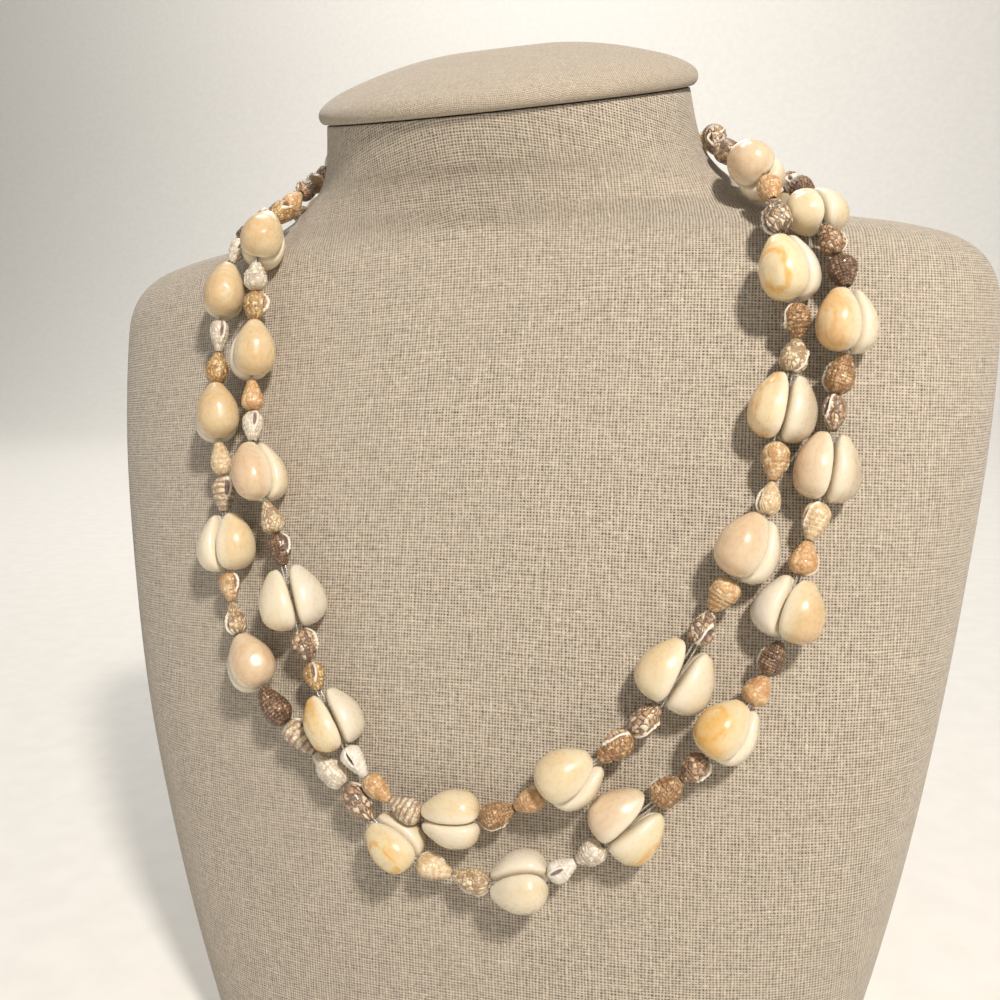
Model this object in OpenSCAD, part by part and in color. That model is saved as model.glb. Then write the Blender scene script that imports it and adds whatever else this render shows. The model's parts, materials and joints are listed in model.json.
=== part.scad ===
// A cowrie shell necklace of two strands, on the plain cloth-covered neck bust that holds it.
// Millimetres. Z is up, the front faces -Y, and the origin is the middle of the base.

/* [Neck bust] */
// Height of the body at the middle of the neck's top
bust_height = 306; // [304:1:314]
// Width of the body across the shoulders
shoulder_width = 290; // [288:1:298]
// How far the padded cap stands out past the neck
cap_overhang = 2.5; // [1:0.5:4]
// Height of the padded cap in its middle
cap_thickness = 17; // [13:1:20]

/* [Strands] */
// Height of the thread's line above the cloth, where nothing else is said
strand_height = 7; // [7:0.1:8]
// How much lower the thread lies between two small shells than in the pairs beside them
small_drop = 1.2; // [0:0.1:1.4]
// Diameter of one run of clear nylon line
line_d = 0.45; // [0.4:0.05:0.5]
// Diameter of the hole through a small shell
bore_d = 2.1; // [2.1:0.05:2.4]
// How much shorter a shell is than the length of strand it takes up
end_play = 0.2; // [0.1:0.05:0.5]

/* [Cowries] */
// Space between the two bases of a pair
pair_gap = 0.3; // [0.2:0.05:0.4]
// Least space between a pair and the cloth
cloth_clearance = 0.4; // [0.3:0.1:0.8]
// Depth of the slit in a cowrie's base
slit_depth = 1.5; // [1.4:0.1:1.8]
// Width of the slit at the base
slit_width = 1.6; // [1.5:0.1:2]

/* [Hidden] */
PAIR = 0;
SPIRE = 1;
ROUND = 2;
KNOT = 3;

INNER_PAIRS = 17;
OUTER_PAIRS = 19;

function two_digits(n) = n < 10 ? str("0", n) : str(n);

// Sections of the bust, from the base up:
// height, half width, depth in front, depth behind, middle in y, squareness, slope of the section
BUST = [
    [  0,  99, 52, 50, -12.5, 2.4, 0],
    [ 40, 111, 56, 51,  -8.5, 2.4, 0],
    [ 80, 121, 58, 51,  -4.5, 2.4, 0],
    [120, 129, 60, 51,   0.5, 2.4, 0],
    [160, 136, 59, 49,   7.5, 2.4, 0],
    [200, 142, 56, 45,  15.5, 2.4, 0],
    [234, 145, 52.5, 40,  23.5, 2.4, 0],
    [249, 143, 50, 39,  25.5, 2.4, 0],
    [258, 135, 48, 38,  25.5, 2.3, 0],
    [263, 121, 46, 38,  24.5, 2.2, 0],
    [267, 102, 48, 37,  26.5, 2.1, 0],
    [272,  84, 50, 38,  26.5, 2.0, 0],
    [279,  71, 50.5, 40,  24.5, 2.0, 0],
    [289,  61, 47, 45,  17.5, 2.0, 0.1],
    [306,  57, 47, 47,  13.5, 2.0, 0.25]];
high = bust_height / 306;
wide = shoulder_width / 290;
bust_sides = 40;
steps_per_section = 2;

// Routes of the strands over the bust, from the middle of its back round its right side:
// angle from the front, section of the bust (counted from 0, with parts), height above the cloth
INNER_ROUTE = [
    [180, 12.6, 0], [155, 12.8, 0.5], [130, 13, 0.7], [108, 13.2, -0.6], [94, 13.1, -2.5], [81, 12.8, -2.5],
    [66, 11.7, 0], [49, 10.1, 1.5], [40, 9, 2], [35.5, 8, 1.2], [34, 6.8, 0], [35, 5.85, 0],
    [33.5, 5.3, 0], [33.5, 4.85, 0], [32, 4.45, 0], [28.5, 4.1, 0], [25.5, 3.65, 0], [21, 3.3, 0],
    [15, 3.05, 0], [8.5, 2.8, 0], [0.5, 2.65, 0.5], [-8, 2.8, 1.5], [-13.5, 3.2, 0.5], [-17, 3.6, 0],
    [-19, 4, 0], [-21.5, 4.45, 0], [-24, 4.9, 0], [-25.5, 5.3, 0], [-26, 5.85, 0], [-26.5, 6.6, 0],
    [-27.5, 7.7, 1.4], [-35, 9.6, 1], [-54, 11.4, -1.2], [-66, 12.2, -2.5], [-78, 12.6, -3],
    [-89, 12.8, -1.5], [-100, 12.9, 1.2], [-116, 13, 1.1], [-137, 12.9, 1.4], [-158, 12.7, 0.6]];
OUTER_ROUTE = [
    [180, 9, 0.4], [162, 9.1, 0.3], [149, 9.6, 0.6], [136, 10.3, 1], [121, 10.9, 0.5], [106, 11.2, 0.4],
    [92, 11.2, 0.5], [78, 10.9, 0.5], [63, 10.3, 1.2], [49.5, 9.4, 0.3], [42, 8.2, 0.6], [40, 7, 1.2],
    [40.5, 5.85, 0], [39.5, 5.4, 0], [39.5, 4.9, 0], [38, 4.5, 0], [36.5, 4.1, 0], [35, 3.7, 0],
    [31.5, 3.35, 0], [27, 3.05, 0], [21.5, 2.75, 0], [16.5, 2.5, 0], [9.5, 2.3, 0], [1.5, 2.3, 0],
    [-6.5, 2.45, 0], [-10.5, 2.7, 0], [-16.5, 3, 0], [-22.5, 3.3, 0], [-25.5, 3.6, 0], [-28.5, 3.95, 0],
    [-29.5, 4.35, 0], [-30, 4.85, 0], [-30.5, 5.3, 0], [-31.5, 5.8, 0], [-31.5, 6.9, 0], [-33.5, 8.1, 0],
    [-39, 9.2, -0.5], [-56, 10.5, -0.9], [-71, 11.05, -0.7], [-84, 11.3, 0.2], [-97, 11.3, 0.3],
    [-109, 11.2, 0.4], [-121, 10.9, 0.5], [-136, 10.3, 1.4], [-149, 9.6, 1.8], [-162, 9.1, 0.8]];
route_steps = 12;

// What is on a strand, in order along its route from the middle of the back. A pair of cowries:
// kind, length taken up, width, height of one cowrie, turn about the strand, spread of the tips,
// way (1: tips ahead). A small shell or a knot: kind, length taken up, diameter, way
INNER_RIGHT = [
    [PAIR, 16, 12.2, 8.6, 20, 4, 1], [SPIRE, 9.5, 6.4, 1], [ROUND, 9, 6.8, -1],
    [PAIR, 16, 12, 8.4, -30, 4, -1], [SPIRE, 9, 6.2, -1], [SPIRE, 9, 6.4, 1], [ROUND, 9, 6.6, 1]];
INNER_LEFT = [
    [ROUND, 9, 6.6, -1], [SPIRE, 9, 6.4, -1], [ROUND, 8.5, 6.4, 1], [PAIR, 16, 12, 8.6, 30, 4, 1],
    [SPIRE, 9.5, 6.2, -1], [PAIR, 16, 12.2, 8.4, -20, 4, 1], [SPIRE, 9, 6.4, 1],
    [PAIR, 16, 12, 8.6, 40, 4, -1], [SPIRE, 9.5, 6.2, 1], [KNOT, 4, 3.6, 1], [ROUND, 9, 6.6, -1]];
OUTER_RIGHT = [
    [PAIR, 15, 12, 8.4, 10, 4, 1], [ROUND, 8.5, 6.6, 1], [SPIRE, 8.5, 6.2, -1],
    [PAIR, 15, 12, 8.4, 40, 4, -1], [SPIRE, 8.5, 6.4, 1], [ROUND, 8.5, 6.6, -1],
    [PAIR, 15, 12, 8.4, -20, 4, 1], [SPIRE, 8.5, 6.2, 1], [SPIRE, 8.5, 6.4, -1], [ROUND, 8.5, 6.4, 1]];
OUTER_LEFT = [
    [SPIRE, 8.5, 6.2, 1], [ROUND, 8.5, 6.4, -1], [SPIRE, 8.5, 6.2, 1], [SPIRE, 8.5, 6.4, -1],
    [ROUND, 8.5, 6.4, 1], [SPIRE, 8.5, 6.2, -1], [ROUND, 8.5, 6.4, 1], [PAIR, 15, 12, 8.4, 30, 4, 1],
    [SPIRE, 8.5, 6.4, 1], [PAIR, 15, 12, 8.4, -30, 4, -1], [SPIRE, 8.5, 6.2, -1],
    [PAIR, 15, 12, 8.6, 20, 4, 1], [ROUND, 8.5, 6.6, -1], [PAIR, 15, 12, 8.4, 40, 4, -1],
    [KNOT, 4, 3.6, 1], [SPIRE, 8.5, 6.4, 1], [ROUND, 8.5, 6.4, -1]];
INNER_FRONT = [
    [SPIRE, 10, 6.4, 1], [ROUND, 11.5, 7.2, -1],
    [PAIR, 17, 12.6, 8.8, 35, 4, -1], [SPIRE, 8.5, 6.6, -1], [ROUND, 10, 7.4, 1],
    [PAIR, 17.5, 12.9, 9, 45, 4, -1], [ROUND, 8.5, 7, -1], [ROUND, 8.5, 7.2, 1],
    [PAIR, 17.5, 12.8, 8.6, 5, 3, -1], [SPIRE, 9.5, 7, -1], [SPIRE, 8.5, 6, 1],
    [PAIR, 17, 13, 9.2, 45, 3, -1], [SPIRE, 9, 7.6, -1], [ROUND, 8.5, 6.8, 1],
    [PAIR, 17, 12.8, 9.4, 8, 14, -1], [ROUND, 9.5, 7, 1], [ROUND, 10, 7.2, -1],
    [PAIR, 16, 13.4, 9, 45, 6, -1], [SPIRE, 9, 6.4, -1], [ROUND, 9.5, 6.8, 1],
    [PAIR, 16, 11.4, 7.8, 0, 0, 1], [SPIRE, 9, 7, -1], [SPIRE, 8.5, 6, 1], [SPIRE, 9, 6.2, 1],
    [PAIR, 16, 12, 8, -40, 5, 1], [SPIRE, 7.5, 6.2, 1], [ROUND, 9, 7, 1],
    [PAIR, 17.5, 13.2, 9, -35, 6, 1], [ROUND, 9, 6.4, 1], [SPIRE, 9, 6.8, -1],
    [PAIR, 17.5, 12.3, 8.8, -80, 0, 1], [SPIRE, 9, 6.2, 1], [SPIRE, 9, 6.6, -1],
    [PAIR, 17, 12.2, 8.8, 40, 4, 1], [ROUND, 8.5, 7.4, 1], [ROUND, 8, 6.6, -1],
    [PAIR, 16, 12.5, 8.6, 60, 3, 1], [ROUND, 9, 7, 1], [SPIRE, 9, 6.2, -1]];
OUTER_FRONT = [
    [SPIRE, 9.8, 6.2, 1], [ROUND, 9.7, 7, -1],
    [PAIR, 14.5, 11.6, 8.2, 5, 4, -1], [ROUND, 8, 6.6, 1], [ROUND, 8.5, 7.6, -1],
    [PAIR, 16.5, 12.2, 8.6, 30, 6, -1], [ROUND, 10, 7.6, 1], [ROUND, 9, 6.2, -1],
    [PAIR, 17.5, 12.6, 8.4, 3, 3, -1], [SPIRE, 9.5, 6.8, -1], [SPIRE, 8.5, 7, 1],
    [PAIR, 16, 12.8, 8.8, -40, 5, -1], [ROUND, 8.5, 6.6, 1], [SPIRE, 7.5, 6.8, 1],
    [PAIR, 16, 13, 8.8, 45, 5, -1], [ROUND, 8, 6.6, -1], [ROUND, 8.5, 7.6, 1],
    [PAIR, 16.5, 12.8, 9.4, 0, 12, -1], [SPIRE, 8, 6.4, -1], [SPIRE, 7.5, 6.2, 1],
    [PAIR, 15.5, 12, 8.2, -50, 3, 1], [SPIRE, 10, 6.6, -1], [SPIRE, 9.5, 6.6, 1],
    [PAIR, 15.5, 11.4, 8, -70, 0, 1], [ROUND, 11.5, 6.8, 1], [SPIRE, 11.5, 6.6, -1], [SPIRE, 11, 7, 1],
    [ROUND, 11.5, 8, -1],
    [PAIR, 16, 12.4, 8.8, 40, 5, 1], [SPIRE, 9.5, 6.2, -1], [SPIRE, 8, 6.2, 1],
    [PAIR, 17, 12.2, 8.8, 0, 9, 1], [ROUND, 10, 6.8, 1], [SPIRE, 9.5, 6.4, -1],
    [PAIR, 17, 12.4, 8.6, 45, 5, 1], [ROUND, 9.5, 6.8, -1], [SPIRE, 9.5, 5.8, 1],
    [PAIR, 16.5, 12, 8.4, 50, 5, 1]];

INNER_ITEMS = concat(INNER_RIGHT, INNER_FRONT, INNER_LEFT);
OUTER_ITEMS = concat(OUTER_RIGHT, OUTER_FRONT, OUTER_LEFT);

// One cowrie along its length, from the broad end to the tip: place, share of the width,
// share of the height of its back, share of the height by which its base is drawn up there
COWRIE = [
    [0, 0.24, 0.32, 0.1], [0.06, 0.54, 0.57, 0.04], [0.2, 0.88, 0.9, 0], [0.38, 1, 1, 0],
    [0.64, 0.84, 0.87, 0], [0.88, 0.47, 0.53, 0.03], [1, 0.22, 0.31, 0.09]];
// Its rounded back, round half a section: share across, share out from the base
COWRIE_BACK = [[0.78, 0], [1, 0.26], [0.76, 0.76], [0, 1], [-0.76, 0.76], [-1, 0.26], [-0.78, 0]];

function smooth(a, b, c, d, f) =
    0.5 * (2 * b + (c - a) * f + (2 * a - 5 * b + 4 * c - d) * f * f + (3 * b - a - 3 * c + d) * f * f * f);
function unit(v) = v / norm(v);
function running_sum(list) = [
    for (i = 0, s = 0; i <= len(list); s = s + (i < len(list) ? list[i] : 0), i = i + 1) s];

// A section of the bust at any place between the rows of its table
function section(t) =
    let (last = len(BUST) - 1, i = min(floor(t), last - 1))
    smooth(BUST[max(i - 1, 0)], BUST[i], BUST[i + 1], BUST[min(i + 2, last)], t - i);
function bust_point(angle, t) =
    let (
        row = section(t),
        power = row[5],
        reach = pow(pow(abs(sin(angle)), power) + pow(abs(cos(angle)), power), -1 / power),
        y = -(cos(angle) > 0 ? row[2] : row[3]) * reach * cos(angle))
    [wide * row[1] * reach * sin(angle), row[4] + y, high * row[0] + row[6] * y];
function bust_normal(angle, t) =
    let (e = 0.05)
    unit(cross(
        bust_point(angle + e, t) - bust_point(angle - e, t),
        bust_point(angle, t + e) - bust_point(angle, t - e)));

// A strand's line: places, directions away from the cloth, and the length run so far
function route_row(route, i) =
    let (n = len(route), lap = floor(i / n))
    route[i - lap * n] - [360 * lap, 0, 0];
function route_samples(route) = [
    for (i = [0:len(route) - 1])
        for (j = [0:route_steps - 1])
            let (f = j / route_steps)
            smooth(
                route_row(route, i - 1), route_row(route, i),
                route_row(route, i + 1), route_row(route, i + 2), f)];
function closed(list) = concat(list, [list[0]]);
function line_places(samples) = closed([
    for (r = samples) bust_point(r[0], r[1]) + (strand_height + r[2]) * bust_normal(r[0], r[1])]);
function line_normals(samples) = closed([for (r = samples) bust_normal(r[0], r[1])]);
function line_lengths(places) = running_sum([
    for (i = [0:len(places) - 2]) norm(places[i + 1] - places[i])]);
function at_length(s, values, index) =
    let (u = lookup(s, index), i = min(floor(u), len(values) - 2))
    values[i] + (u - i) * (values[i + 1] - values[i]);

// A strand holds: items, joints between them, normals there, turns of the two runs of thread there,
// and which joints are at a pair
function around(s, total) = s - total * floor(s / total);
function is_pair(item) = item[0] == PAIR;
function pair_lift(item) =
    pair_gap / 2 + cloth_clearance - strand_height + max([
        for (p = COWRIE_BACK) abs(p[0] * item[2] / 2 * cos(item[4])) + abs(p[1] * item[3] * sin(item[4]))]);
function nearest_pair(items, i, step) =
    let (k = (i + len(items)) % len(items))
    is_pair(items[k]) ? items[k] : nearest_pair(items, k + step, step);
function strand(items, route, start) =
    let (
        n = len(items),
        samples = route_samples(route),
        places = line_places(samples),
        normals = line_normals(samples),
        lengths = line_lengths(places),
        total = lengths[len(lengths) - 1],
        index = [for (i = [0:len(lengths) - 1]) [lengths[i], i]],
        run = running_sum([for (item = items) item[1]]),
        gap = (total - run[n]) / n,
        joint_s = [for (i = [0:n]) start - gap / 2 + run[i] + i * gap],
        joint_normals = [for (s = joint_s) unit(at_length(around(s, total), normals, index))],
        before = [for (i = [0:n]) nearest_pair(items, i - 1, -1)],
        after = [for (i = [0:n]) nearest_pair(items, i, 1)],
        at_pair = [for (i = [0:n])
            is_pair(items[(i + n - 1) % n]) ? before[i] : is_pair(items[i % n]) ? after[i] : []],
        lifts = [for (i = [0:n])
            at_pair[i] != []
                ? pair_lift(at_pair[i])
                : (pair_lift(before[i]) + pair_lift(after[i])) / 2 - small_drop],
        turns = [for (i = [0:n]) at_pair[i] != [] ? at_pair[i][4] : (before[i][4] + after[i][4]) / 2],
        joints = [for (i = [0:n])
            at_length(around(joint_s[i], total), places, index) + lifts[i] * joint_normals[i]])
    [items, joints, joint_normals, turns, [for (p = at_pair) p != []]];

// The frame of item i: middle, direction along the strand, away from the cloth, and sideways
function frame_of(s, i) =
    let (
        from = s[1][i],
        to = s[1][i + 1],
        along = unit(to - from),
        side = unit(cross(along, s[2][i] + s[2][i + 1])))
    [(from + to) / 2, along, cross(side, along), side];
// The direction in which the two runs of line lie beside each other at joint i
function twist_of(s, i) =
    let (
        n = len(s[0]),
        along = unit(s[1][(i + 1) % n] - s[1][(i + n - 1) % n]),
        side = unit(cross(along, s[2][i])))
    [along, side * cos(s[3][i]) + cross(side, along) * sin(s[3][i])];

INNER = strand(INNER_ITEMS, INNER_ROUTE, 9.4);
OUTER = strand(OUTER_ITEMS, OUTER_ROUTE, 13.8);

function of_kind(items, first, last) = [
    for (i = [0:len(items) - 1]) if (items[i][0] >= first && items[i][0] <= last) i];

// Rings of points joined into one closed skin, with flat ends
module skin(rings) {
    n = len(rings[0]);
    m = len(rings);
    polyhedron(
        points = [for (ring = rings) each ring],
        faces = concat(
            [[for (j = [n - 1:-1:0]) j]],
            [for (i = [0:m - 2])
                for (j = [0:n - 1])
                    [i * n + j, i * n + (j + 1) % n, (i + 1) * n + (j + 1) % n]],
            [for (i = [0:m - 2])
                for (j = [0:n - 1])
                    [i * n + j, (i + 1) * n + (j + 1) % n, (i + 1) * n + j]],
            [[for (j = [0:n - 1]) (m - 1) * n + j]]));
}

// The plain body: chest, shoulders and neck in one, standing on its flat base
module bust_body() {
    last = (len(BUST) - 1) * steps_per_section;
    color("tan") skin([
        for (i = [0:last])
            [for (j = [0:bust_sides - 1]) bust_point(-360 * j / bust_sides, i / steps_per_section)]]);
}

// The padded disc on top of the neck, sloping forwards with it
module neck_cap() {
    top = BUST[len(BUST) - 1];
    // How far out from the neck's edge, and how high above its top
    profile = [
        [-0.5, 0.3], [0.7 * cap_overhang, 0.06 * cap_thickness], [cap_overhang, 0.17 * cap_thickness],
        [0.6 * cap_overhang, 0.32 * cap_thickness], [-3, 0.5 * cap_thickness], [-12, 0.7 * cap_thickness],
        [-24, 0.88 * cap_thickness], [-38, cap_thickness]];
    color("wheat") skin([
        for (p = profile)
            [for (j = [0:bust_sides - 1])
                let (
                    angle = -360 * j / bust_sides,
                    y = -(top[2] + p[0]) * cos(angle))
                [(wide * top[1] + p[0]) * sin(angle), top[4] + y, high * top[0] + top[6] * y + p[1]]]]);
}

// One run of nylon line through every shell of a strand, closed on itself
module line_run(s, side) {
    n = len(s[0]);
    sides = 6;
    rings = [
        for (i = [0:n - 1])
            let (
                twist = twist_of(s, i),
                centre = s[1][i] + side * (s[4][i] ? 0.6 : 0.37) * twist[1],
                across = unit(twist[1] - (twist[1] * twist[0]) * twist[0]),
                up = cross(twist[0], across))
            [for (k = [0:sides - 1])
                centre + line_d / 2 * (across * cos(360 * k / sides) + up * sin(360 * k / sides))]];
    polyhedron(
        points = [for (ring = rings) each ring],
        faces = [
            for (i = [0:n - 1])
                for (k = [0:sides - 1])
                    for (half = [0, 1])
                        let (
                            a = i * sides + k,
                            b = i * sides + (k + 1) % sides,
                            c = (i + 1) % n * sides + (k + 1) % sides,
                            d = (i + 1) % n * sides + k)
                        half == 0 ? [a, c, b] : [a, d, c]]);
}

module thread(s) {
    color("whitesmoke") {
        line_run(s, 1);
        line_run(s, -1);
    }
}

// One cowrie of a pair: a domed shell with a flat base, and the slit along it in which its line runs
module cowrie(s, i, side) {
    item = s[0][i];
    length = item[1] - end_play;
    f = frame_of(s, i);
    turn = item[4];
    stack = side * (f[3] * cos(turn) + f[2] * sin(turn));
    along = f[1] * item[6];
    across = cross(along, stack);
    lean = item[5] / 2;
    out = stack * cos(lean) - along * sin(lean);
    ahead = along * cos(lean) + stack * sin(lean);
    heel = f[0] - along * length / 2 + stack * pair_gap / 2;
    shape = concat(
        [[0, slit_depth, 2], [slit_width / 2, 0, 1]],
        [for (p = COWRIE_BACK) [p[0] * item[2] / 2, p[1] * item[3], 0]],
        [[-slit_width / 2, 0, 1]]);
    rings = [
        for (r = COWRIE)
            [for (p = shape)
                let (w = p[2] == 0 ? p[0] * r[1] : p[0], base = r[3] * item[3])
                let (h = p[2] == 2 ? p[1] : p[2] == 1 ? base : base + p[1] * (r[2] - r[3]))
                heel + across * w + out * h + ahead * r[0] * length]];
    color("ivory") skin(rings);
}

module pair(s, number) {
    i = of_kind(s[0], PAIR, PAIR)[number - 1];
    cowrie(s, i, 1);
    cowrie(s, i, -1);
}

// A drilled shell turned about its own line: spire, body and blunt end
module drilled_shell(length, d, whorls, shoulder) {
    r = d / 2;
    bore = bore_d / 2;
    tip = bore + 0.25;
    // Up the spire, each whorl bulging over the next
    spire = [
        for (k = [0:whorls - 1])
            for (p = [0.15, 1])
                let (share = (k + p) / whorls)
                [tip + (r - tip) * (p < 1 ? share + 0.12 : share), length * shoulder * share]];
    rotate_extrude($fn = 32)
        polygon(concat(
            [[bore, 0], [tip, 0]],
            spire,
            [[r, length * (shoulder + 0.12)], [tip + 0.45 * (r - tip), length * 0.93]],
            [[tip, length], [bore, length]]));
}

module on_strand(s, i) {
    f = frame_of(s, i);
    way = s[0][i][3];
    z = f[1] * way;
    x = f[3];
    y = cross(z, x);
    c = f[0];
    multmatrix([
        [x[0], y[0], z[0], c[0]],
        [x[1], y[1], z[1], c[1]],
        [x[2], y[2], z[2], c[2]],
        [0, 0, 0, 1]])
        children();
}

module small_shells(s) {
    for (i = of_kind(s[0], SPIRE, ROUND)) {
        item = s[0][i];
        length = item[1] - end_play;
        color(item[0] == SPIRE ? "burlywood" : "peru")
            on_strand(s, i)
                translate([0, 0, -length / 2])
                    drilled_shell(length, item[2], item[0] == SPIRE ? 4 : 3, item[0] == SPIRE ? 0.6 : 0.48);
    }
}

// The strand's ends tied together, out of sight behind the neck, as one plain bead of knotted line
module knot(s) {
    i = of_kind(s[0], KNOT, KNOT)[0];
    item = s[0][i];
    r = item[2] / 2;
    color("whitesmoke")
        on_strand(s, i)
            rotate_extrude($fn = 32)
                polygon([
                    [bore_d / 2, -item[1] / 2], [bore_d / 2 + 0.3, -item[1] / 2], [r, -item[1] / 4],
                    [r, item[1] / 4], [bore_d / 2 + 0.3, item[1] / 2], [bore_d / 2, item[1] / 2]]);
}

bust_body();
neck_cap();
thread(INNER);  // inner_thread
thread(OUTER);  // outer_thread
knot(INNER);  // inner_knot
knot(OUTER);  // outer_knot
small_shells(INNER);  // inner_small_shells
small_shells(OUTER);  // outer_small_shells
for (k = [1:INNER_PAIRS])
    pair(INNER, k);
for (k = [1:OUTER_PAIRS])
    pair(OUTER, k);
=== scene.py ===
import json
import math

import bmesh
import bpy
import numpy as np
from mathutils import Matrix, Vector

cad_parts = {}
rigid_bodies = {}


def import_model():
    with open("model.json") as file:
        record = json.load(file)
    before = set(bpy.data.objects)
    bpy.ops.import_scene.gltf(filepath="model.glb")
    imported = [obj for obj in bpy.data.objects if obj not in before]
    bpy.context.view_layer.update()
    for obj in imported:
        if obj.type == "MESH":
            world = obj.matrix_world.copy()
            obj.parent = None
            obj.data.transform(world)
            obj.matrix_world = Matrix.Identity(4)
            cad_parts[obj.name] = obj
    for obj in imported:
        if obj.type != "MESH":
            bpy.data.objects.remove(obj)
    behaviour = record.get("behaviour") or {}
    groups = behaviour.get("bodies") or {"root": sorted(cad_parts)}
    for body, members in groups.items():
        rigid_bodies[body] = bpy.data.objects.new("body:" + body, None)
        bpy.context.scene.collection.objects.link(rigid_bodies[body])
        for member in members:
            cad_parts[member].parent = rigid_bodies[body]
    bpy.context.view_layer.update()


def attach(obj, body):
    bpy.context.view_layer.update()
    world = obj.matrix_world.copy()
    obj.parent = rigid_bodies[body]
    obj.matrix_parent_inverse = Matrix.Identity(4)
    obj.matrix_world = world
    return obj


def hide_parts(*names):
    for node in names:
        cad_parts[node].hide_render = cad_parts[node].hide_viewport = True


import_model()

# Chest, shoulders and neck of the display bust: one moulded core with unbleached linen glued
# tight over it. Its sections are given from the base up, in millimetres: height, half width,
# depth in front, depth behind, middle in y, squareness, slope.
SECTIONS = np.array([
    [0, 99, 52, 50, -12.5, 2.4, 0], [40, 111, 56, 51, -8.5, 2.4, 0],
    [80, 121, 58, 51, -4.5, 2.4, 0], [120, 129, 60, 51, 0.5, 2.4, 0],
    [160, 136, 59, 49, 7.5, 2.4, 0], [200, 142, 56, 45, 15.5, 2.4, 0],
    [234, 145, 52.5, 40, 23.5, 2.4, 0], [249, 143, 50, 39, 25.5, 2.4, 0],
    [258, 135, 48, 38, 25.5, 2.3, 0], [263, 121, 46, 38, 24.5, 2.2, 0],
    [267, 102, 48, 37, 26.5, 2.1, 0], [272, 84, 50, 38, 26.5, 2.0, 0],
    [279, 71, 50.5, 40, 24.5, 2.0, 0], [289, 61, 47, 45, 17.5, 2.0, 0.1],
    [306, 57, 47, 47, 13.5, 2.0, 0.25]])
# the section that the neck rises from
FOOT_OF_NECK = 11
MM = 0.001


def eased(a, b, c, d, f):
    return 0.5 * (2 * b + (c - a) * f + (2 * a - 5 * b + 4 * c - d) * f ** 2
                  + (3 * b - a - 3 * c + d) * f ** 3)


def smooth_row(table, t):
    """A place between two rows of a table, on a smooth line through all of them."""
    last = len(table) - 1
    i = min(int(math.floor(t)), last - 1)
    return eased(table[max(i - 1, 0)], table[i], table[i + 1], table[min(i + 2, last)], t - i)


def on_body(angle, t):
    height, half, front, behind, middle, square, slope = smooth_row(SECTIONS, t)
    s, c = math.sin(math.radians(angle)), math.cos(math.radians(angle))
    reach = (abs(s) ** square + abs(c) ** square) ** (-1 / square)
    y = -(front if c > 0 else behind) * reach * c
    return np.array([half * reach * s, middle + y, height + slope * y])


def unit(v):
    return v / np.linalg.norm(v)


def off_body(angle, t, e=0.05):
    return unit(np.cross(on_body(angle + e, t) - on_body(angle - e, t),
                         on_body(angle, t + e) - on_body(angle, t - e)))


def paint(r, g, b):
    """A colour as it is mixed, 0 to 255, turned into light."""
    return tuple(c / 12.92 if c <= 0.04 else ((c + 0.055) / 1.055) ** 2.4
                 for c in (r / 255, g / 255, b / 255))


def tinted(colour, share):
    return tuple(min(share * c, 0.9) for c in colour)


def tube_faces(rings, columns, closed=False):
    """Faces between rings of places; if closed, also between the last ring and the first."""
    return [(i * columns + j, i * columns + (j + 1) % columns,
             (i + 1) % rings * columns + (j + 1) % columns, (i + 1) % rings * columns + j)
            for i in range(rings if closed else rings - 1) for j in range(columns)]


def new_mesh(name, places, faces=(), edges=()):
    mesh = bpy.data.meshes.new(name)
    mesh.from_pydata([tuple(p) for p in places], edges, faces)
    mesh.validate()
    mesh.polygons.foreach_set("use_smooth", [True] * len(mesh.polygons))
    piece = bpy.data.objects.new(name, mesh)
    bpy.context.scene.collection.objects.link(piece)
    return piece


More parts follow.
